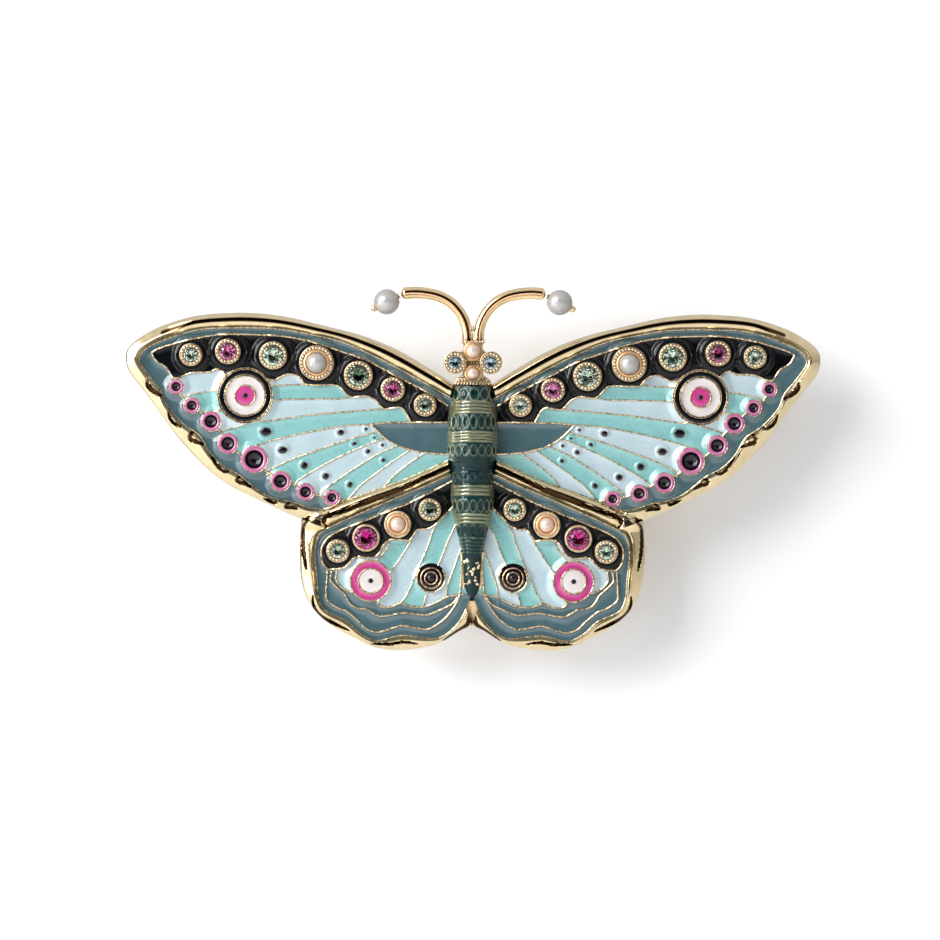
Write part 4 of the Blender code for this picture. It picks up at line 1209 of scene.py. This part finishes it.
def disc(name, x, z, rings, nodes, side, sign):
    """An enamel eye of several rings: (inner radius, outer radius, height, dome, finish)."""
    for i, (inner, outer, height, dome, finish) in enumerate(rings):
        profile = ring_solid(inner, outer, ENAMEL_FLOOR, height, dome)
        shape = Shape().turn(profile, (x, z), 72, closed=inner > 0)
        build(f"{name}_ring_{i + 1}_{side}", shape, finish, side=sign, replaces=nodes if i == 0 else ())


def hoop(shape, x, z, radius, thick, height, sides=72):
    """A closed wire ring."""
    angles = np.linspace(0, 2 * math.pi, 10, endpoint=False)
    profile = [(radius + thick * math.cos(a), height + thick * math.sin(a)) for a in angles[::-1]]
    shape.turn(profile, (x, z), sides, closed=True)


# Wires between the rings of the forewing's eye: (radius, half-thickness, height).
FORE_EYE_WIRES = [
    (3.24, 0.08, 2.28), (3.06, 0.05, 2.34), (2.44, 0.05, 2.38), (2.29, 0.05, 2.4), (1.2, 0.1, 2.4),
]


def eyes():
    """The ringed eye of each wing, with gold wires between its rings and a domed pupil."""
    for side, sign in SIDES.items():
        x, z, _ = FORE_EYE
        disc("fore_eye", x, z, [
            (2.42, 3.06, 2.3, 0.06, "black"),
            (1.28, 2.26, 2.36, -0.05, "eye_white"),
            (0.0, 1.14, 2.4, 0.05, "magenta"),
        ], [f"fore_eye_{side}"], side, sign)
        shape = Shape()
        for radius, thick, height in FORE_EYE_WIRES:
            hoop(shape, x, z, radius, thick, height)
        pupil = Shape().beads([(x, z, 2.42)], 0.34, 0.3)
        build(f"fore_eye_pupil_{side}", pupil, "dark", side=sign)
        x, z, _ = HIND_EYE
        hoop(shape, x, z, 2.38, 0.11, 2.26)
        hoop(shape, x, z, 1.44, 0.1, 2.36)
        disc("hind_eye", x, z, [
            (1.5, 2.33, 2.3, -0.05, "magenta"),
            (0.0, 1.38, 2.36, 0.04, "eye_white"),
        ], [f"hind_eye_{side}"], side, sign)
        build(f"eye_wires_{side}", shape, "gold_wire", side=sign)
        pupil = Shape().beads([(x, z, 2.41)], 0.3, 0.3)
        build(f"hind_eye_pupil_{side}", pupil, "dark", side=sign)


def drops():
    """The pink rings along the forewing's edge, each round a dark hollow, and the grains between them."""
    for side, sign in SIDES.items():
        pink, hollow, gilt = Shape(), Shape(), Shape()
        for x, z, outer, inner in DROPS:
            ring = ring_solid(inner + 0.02, outer - 0.06, ENAMEL_FLOOR, 2.24, 0.1)
            pink.turn(ring, (x, z), 48, closed=True)
            angles = np.linspace(math.pi / 2, 0, 9)
            bowl = [(inner * math.sin(a), 2.22 - 0.75 * inner * math.cos(a)) for a in angles]
            hollow.turn([(inner + 0.05, 1.3), (inner + 0.05, 2.25), *bowl, (0, 1.3)][::-1], (x, z), 40)
            hoop(gilt, x, z, outer - 0.03, 0.06, 2.24, 48)
        gilt.beads([(x, z, 2.1) for x, z in DROP_BEADS], 0.2, 0.8)
        build(f"drop_rings_{side}", pink, "pink", side=sign)
        build(f"drop_hollows_{side}", hollow, "dark", side=sign)
        build(f"drop_wires_{side}", gilt, "gold_wire", side=sign)


def seeds():
    """The dark oval dots of the forewing's field, each in a thin gold wire."""
    for side, sign in SIDES.items():
        dark, gilt = Shape(), Shape()
        for x, z, wide, tall in SEEDS:
            angles = np.linspace(0, 2 * math.pi, 29)
            line = np.column_stack([x + wide * np.cos(angles), z + tall * np.sin(angles)])
            gilt.tube(line, LEVEL + 0.02, 0.05, 6, caps=False)
            template, faces = bead_template()
            dark.add(np.array([x, z, LEVEL]) + template * (wide, tall, 0.1), faces)
        build(f"field_dots_{side}", dark, "dark", side=sign)
        build(f"field_dot_wires_{side}", gilt, "gold_wire", side=sign)


def spirals():
    """The boss on each hindwing: an open coil of gold round a dark bead, on dark enamel."""
    x, z, radius = SPIRAL
    for side, sign in SIDES.items():
        base = Shape().turn(ring_solid(0, radius, PLATE + 0.01, 2.02, 0.1), (x, z), 56)
        build(f"spiral_ground_{side}", base, "dark", side=sign)
        coil = Shape()
        angles = np.radians(np.linspace(145, 395, 70))
        coil.tube(np.column_stack([x + 1.66 * np.cos(angles), z + 1.66 * np.sin(angles)]), 2.14, 0.11, 8)
        hoop(coil, x, z, 1.2, 0.1, 2.2, 48)
        hoop(coil, x, z, 0.72, 0.1, 2.28, 40)
        build(f"spiral_wire_{side}", coil, "gold_wire", side=sign)
        bead = Shape().beads([(x, z, 2.22)], 0.5, 0.6)
        build(f"spiral_bead_{side}", bead, "dark", side=sign)


# Body


# Ridges round the body, as (from z, to z, how many), and rows of ovals, as (z, half-height, spacing).
RIDGE_GROUPS = [(4.6, 3.0, 4), (1.05, -0.35, 4), (-5.2, -6.6, 3), (-8.6, -9.9, 3), (-11.4, -13.5, 5)]
OVAL_ROWS = [
    (5.35, 0.62, 1.5), (2.1, 0.68, 1.05), (-1.25, 0.55, 1.1), (-4.3, 0.4, 0.95), (-7.75, 0.6, 1.0),
    (-10.7, 0.6, 1.15),
]
SHALLOW_RIDGES = (-2.3, -5.0, 6)


def body_relief(z, across):
    """Height of the engraving, in millimetres, at z and at a distance round the body from its middle line."""
    relief = np.zeros(np.broadcast(z, across).shape)
    for high, low, count, deep in [*[(*group, 0.2) for group in RIDGE_GROUPS], (*SHALLOW_RIDGES, 0.05)]:
        phase = (high - z + 0.06 * np.cos(across * 0.8)) / ((high - low) / count)
        ridge = deep * np.abs(np.sin(math.pi * phase)) ** 0.7
        relief = relief + np.where((phase > 0) & (phase < count), ridge, 0)
    for row, tall, spacing in OVAL_ROWS:
        for place in (np.arange(-4, 5) + 0.15) * spacing:
            away = np.hypot((across - place) / (spacing * 0.36), (z - row) / tall)
            wall = 0.12 * np.exp(-(((away - 1.15) / 0.25) ** 2))
            relief = relief + wall - 0.16 * np.exp(-((away / 0.75) ** 4))
    return relief


def body_width(z):
    widths = smooth(BODY_WIDTHS, 26)
    return np.interp(-z, -widths[:, 0], widths[:, 1])


def body():
    """The domed body, engraved with ridges and rows of ovals."""
    spine = smooth(BODY_WIDTHS, 26)
    z, width = spine[:, 0], spine[:, 1]
    angles = np.linspace(0, math.pi, 97)
    reach = np.cos(angles)[None, :]
    rise = np.sin(angles)[None, :]
    arc = width[:, None] * (math.pi / 2 - angles)[None, :] * 1.15
    relief = body_relief(z[:, None], arc)
    fade = ease(np.minimum(1, rise * 3.0)) * ease((width[:, None] - 0.3) / 0.5)
    grow = 1 + 0.35 * (relief * fade) / np.maximum(width[:, None], 0.3)
    x = width[:, None] * reach * np.minimum(grow, 1.02)
    h = PLATE + 0.03 + width[:, None] * BODY_CROWN * rise * grow * 0.985
    grid = np.stack([x, np.broadcast_to(z[:, None], x.shape), h], axis=2)
    shape = Shape().loft(grid, around=True, caps=True)
    obj = build("body_detail", shape, "body", replaces=["body"], flat=60)
    paint(obj, "ridge", ridge_height)


def ridge_height(places):
    """How far each point stands on a ridge, from 0 in a groove to 1 on a crest, for the finish."""
    x, z, h = places.T
    width = body_width(z)
    angle = np.arctan2((h - PLATE) / BODY_CROWN, x)
    relief = body_relief(z, width * (math.pi / 2 - angle) * 1.15)
    edge = ease((np.abs(x) / np.maximum(width, 0.2) - 0.55) / 0.4)
    teal = ease((z + 1.9) / -0.6) * ease((z + 5.6) / 0.5) + ease((z + 9.9) / -0.8)
    return np.clip(relief / 0.2 * 0.7 + 0.35 * edge + 0.12 - 0.45 * np.minimum(1, teal), 0, 1)


def tail():
    """Gold edges along the body's tail, and crumbs of gold between them."""
    shape = Shape()
    z = np.linspace(-13.2, -18.2, 30)
    width = body_width(z)
    base = PLATE + 0.03
    for sign in SIDES.values():
        line = np.column_stack([sign * (width * 0.93 + 0.06), z])
        shape.tube(line, base + width * BODY_CROWN * 0.45, 0.17, 8)
    z = RANDOM.uniform(-17.0, -14.0, 30)
    width = body_width(z)
    across = RANDOM.uniform(-0.8, 0.8, 30)
    height = base + width * BODY_CROWN * np.sqrt(1 - across**2)
    shape.beads(np.column_stack([across * width, z, height]), RANDOM.uniform(0.1, 0.22, 30), 0.6)
    build("body_tail_edges", shape, "gold_cup")


# Head and antennae


def head():
    """The head setting: two pearls and two crystals in grained cups on a grained plate."""
    shape, seat = Shape(), Shape()
    x, z, outer, inner = HEAD_CRYSTAL
    for side, sign in SIDES.items():
        cup(shape, sign * x, z, outer, inner, 1.9, 3.66, False)
        stone(f"head_crystal_{side}_stone", x, z, inner, 3.95, "blue", sign, f"head_crystal_{side}")
    for name, x, z, outer, radius in HEAD_PEARLS:
        cup(shape, x, z, outer, radius, 1.9, 3.3, True)
        build(f"{name}_bead", sphere(radius, (x, z, 2.64 + radius)), "pearl_rose", replaces=[name])
        hoop(seat, x, z, radius + 0.08, 0.14, 3.2, 40)
    half = smooth(HEAD_EDGE, 5)
    outline = np.concatenate([half, half[::-1] * (-1, 1)])
    slab(shape, outline, (0.0, 8.8), [(0.93, 1.26), (1.0, 1.4), (1.0, 2.1), (0.97, 2.24), (0.9, 2.3)])
    grains = grid_points(outline * (0.93, 0.96) + (0, 0.35), 0.36)
    shape.beads(np.column_stack([grains, np.full(len(grains), 2.3)]), 0.2)
    base = [(x, 6.62 + 0.1 * math.cos(x), 2.3) for x in np.arange(-2.0, 2.01, 0.36)]
    shape.beads(base, 0.2, 1.3)
    shape.beads([(x, 6.98, 2.35) for x in np.arange(-1.62, 1.63, 0.36)], 0.18, 1.3)
    for sign in SIDES.values():
        shape.turn([(0, 2.7), (0.5, 2.7), (0.55, 2.6), (0.55, 1.3), (0, 1.3)], (sign * 1.05, 10.0), 24)
    shape.beads([(x, 11.5, 3.0) for x in np.linspace(-1.2, 1.2, 8)], 0.24)
    shape.beads([(x, z, 2.85) for z in (11.8, 12.15, 12.5) for x in (-0.2, 0.2)], 0.2)
    shape.beads([(0, z, 2.75) for z in (12.95, 13.3)], 0.17)
    build("head_setting_detail", shape, "gold_cup", replaces=["head_setting"])
    build("head_pearl_seats", seat, "gold_seat")


def antennae():
    """Tapered tubes with a row of grains along the front, on a dark line painted as a dark reflection."""
    line = resample(smooth(ANTENNA_LINE), 90)
    along = np.linspace(0, 1, 90)
    radii = 0.58 + 0.15 * along
    cap = np.sqrt(np.clip((1 - along) / 0.035, 0.02, 1))
    foot = 1 + 0.12 * np.exp(-((along / 0.03) ** 2))
    grains = resample(smooth(ANTENNA_LINE), 52)[1:-3]
    crests = ANTENNA_DEPTH + 0.58 + 0.15 * np.linspace(0, 1, len(grains))

    # Painted dark reflection: a dark line along the front of each tube.
    def painted_shade(places):
        nearest = np.linalg.norm(on_right(places)[:, None] - line[None], axis=2).argmin(axis=1)
        front = (places[:, 2] - ANTENNA_DEPTH) / radii[nearest]
        return ease((front - 0.86) / 0.06) * (nearest < 86)

    for side, sign in SIDES.items():
        shape = Shape().tube(line, ANTENNA_DEPTH, radii * cap * foot, 24)
        node = f"antenna_{side}"
        tube = build(f"{node}_tube", shape, "gold_tube", replaces=[node], side=sign, flat=60)
        paint(tube, "painted_shade", painted_shade)
        shape = Shape().beads([(x + 0.1, z - 0.1, h - 0.02) for (x, z), h in zip(grains, crests)], 0.13, 0.8)
        build(f"{node}_grains", shape, "gold_seat", side=sign)
        antenna_tip(side, sign)


def antenna_tip(side, sign):
    """The bead pearl of an antenna, and the ball-ended headpin that it turns on."""
    x, z, radius = ANTENNA_PEARL
    ball_x, ball_z, ball = HEADPIN_BALL
    reach = math.hypot(ball_x - x, ball_z - z)
    tilt = math.atan2(ball_z - z, ball_x - x)
    along = math.pi / 2 - tilt if sign > 0 else tilt - math.pi / 2
    place = Matrix.Translation((sign * x * MM, -ANTENNA_DEPTH * MM, z * MM)) @ Matrix.Rotation(along, 4, "Y")
    turn = place @ Matrix.Rotation(math.radians(-90), 4, "X")
    edge = math.asin(0.36 / radius)
    outside = [(radius * math.sin(a), radius * math.cos(a)) for a in np.linspace(edge, math.pi - edge, 30)]
    bead = Shape().turn(outside, (0, 0), 48, closed=True)
    node = f"antenna_pearl_{side}"
    build(f"{node}_bead", bead, "pearl", body=f"pearl_{side}", replaces=[node], turn=turn)
    neck = math.asin(0.25 / ball)
    end = [(ball * math.sin(a), reach + ball * math.cos(a)) for a in np.linspace(0, math.pi - neck, 14)]
    profile = [*end, (0.25, 1.62), (0.25, -1.5), (0.36, -1.56), (0.36, -1.7), (0, -1.7)]
    node = f"antenna_headpin_{side}"
    build(f"{node}_wire", Shape().turn(profile, (0, 0), 24), "gold_cup", replaces=[node], turn=turn)


# Camera, light and stage

VIEW = 0.11092
VIEW_CENTRE = (-0.0003, -0.00354)
CAMERA_DISTANCE = 0.5
ROLL = 0.25


def camera():
    data = bpy.data.cameras.new("camera")
    data.sensor_width = 36
    data.lens = 36 * CAMERA_DISTANCE / VIEW
    data.clip_start = 0.01
    data.clip_end = 10
    obj = bpy.data.objects.new("camera", data)
    x, z = VIEW_CENTRE
    obj.matrix_world = (
        Matrix.Translation((x, -CAMERA_DISTANCE, z))
        @ Matrix.Rotation(math.radians(90), 4, "X")
        @ Matrix.Rotation(math.radians(ROLL), 4, "Z")
    )
    bpy.context.scene.collection.objects.link(obj)
    bpy.context.scene.camera = obj


def softbox(name, azimuth, elevation, distance, width, height, power):
    """An area light aimed at the brooch. Azimuth 0 is in front of it, and a positive one is to its right."""
    data = bpy.data.lights.new(name, "AREA")
    data.shape = "RECTANGLE"
    data.size = width
    data.size_y = height
    data.energy = power
    obj = bpy.data.objects.new(name, data)
    a, e = math.radians(azimuth), math.radians(elevation)
    place = Vector((math.sin(a) * math.cos(e), -math.cos(a) * math.cos(e), math.sin(e))) * distance
    obj.location = place
    obj.rotation_euler = (-place).to_track_quat("-Z", "Y").to_euler()
    bpy.context.scene.collection.objects.link(obj)


def world():
    """A pale tent round the brooch, dark in front where a camera would stand, and plain white to look at."""
    made = bpy.data.worlds.new("tent")
    made.use_nodes = True
    bpy.context.scene.world = made
    tree = made.node_tree
    tree.nodes.clear()
    split = tree.nodes.new("ShaderNodeSeparateXYZ")
    feed(tree, split, {"Vector": tree.nodes.new("ShaderNodeTexCoord").outputs["Generated"]})
    front = arithmetic(tree, "MULTIPLY_ADD", split.outputs["Y"], -0.5, 0.5)
    height = arithmetic(tree, "MULTIPLY_ADD", split.outputs["Z"], 0.5, 0.5)
    core = [(0.0, grey(0.75)), (0.62, grey(0.9)), (0.87, grey(0.7)), (0.925, grey(0.03)), (1.0, grey(0.015))]
    sky = [(0.15, grey(0.4)), (0.5, grey(0.72)), (0.75, grey(1.25))]
    colour = blend(tree, "MULTIPLY", 1, ramp(tree, front, core), ramp(tree, height, sky))
    tent = tree.nodes.new("ShaderNodeBackground")
    feed(tree, tent, {"Color": colour, "Strength": 0.72})
    seen = tree.nodes.new("ShaderNodeBackground")
    feed(tree, seen, {"Color": (1, 1, 1, 1)})
    rays = tree.nodes.new("ShaderNodeLightPath").outputs["Is Camera Ray"]
    both = tree.nodes.new("ShaderNodeMixShader")
    feed(tree, both, {"Fac": rays, 1: tent.outputs["Background"], 2: seen.outputs["Background"]})
    feed(tree, tree.nodes.new("ShaderNodeOutputWorld"), {"Surface": both.outputs["Shader"]})


def sheet(name, corners, finish):
    mesh = bpy.data.meshes.new(name)
    mesh.from_pydata(corners, [], [(0, 1, 2, 3)])
    mesh.materials.append(finish)
    obj = bpy.data.objects.new(name, mesh)
    bpy.context.scene.collection.objects.link(obj)
    return obj


def stage():
    """A pale floor below the brooch, and white paper behind it that only takes its shadow."""
    half = 1.5
    level = CAD_BOX[0].z - 0.05
    corners = [(-half, -half, level), (half, -half, level), (half, half, level), (-half, half, level)]
    sheet("floor", corners, paper("pale_floor", (0.9, 0.9, 0.9), 0.0))
    behind = CAD_BOX[1].y + 0.0007
    low = level + 0.0005
    corners = [(-half, behind, low), (half, behind, low), (half, behind, half), (-half, behind, half)]
    backdrop = sheet("backdrop", corners, paper("white_paper", (0.955, 0.97, 0.995), 0.015))
    backdrop.visible_diffuse = False
    backdrop.visible_glossy = False
    backdrop.visible_transmission = False
    backdrop.visible_shadow = False


camera()
world()
softbox("strip_left", -66, 4, 0.45, 0.065, 0.46, 1.45)
softbox("key", -45, 25, 0.6, 0.4, 0.4, 3.2)
stage()
bpy.context.scene.view_settings.view_transform = "Standard"

casting, casting_crest = rims()
for side_name, side_sign in SIDES.items():
    side_rims = build(f"rims_{side_name}", casting, "gold", side=side_sign, flat=50)
    # Painted shade in the rims' nicks and groove, and a painted dark reflection along the top rims' crest.
    paint(side_rims, "painted_shade", painted_rim_shade(casting_crest))
build("casting_plate", plate(), "gold_back", replaces=["wing_casting"])
for wing_name in ("fore", "hind"):
    enamels(wing_name)
    cell_wires = wires(wing_name)
    for side_name, side_sign in SIDES.items():
        build(f"{wing_name}_cell_wires_{side_name}", cell_wires, "gold_wire", side=side_sign)
set_stones("fore")
set_stones("hind")
eyes()
drops()
seeds()
spirals()
body()
tail()
head()
antennae()
for node in ("pin_joint", "pin_joint_rivet", "pin_stem", "catch_base", "catch_rotor"):
    frame["nodes"][node].material_slots[0].material = MATERIALS["gold_back"]
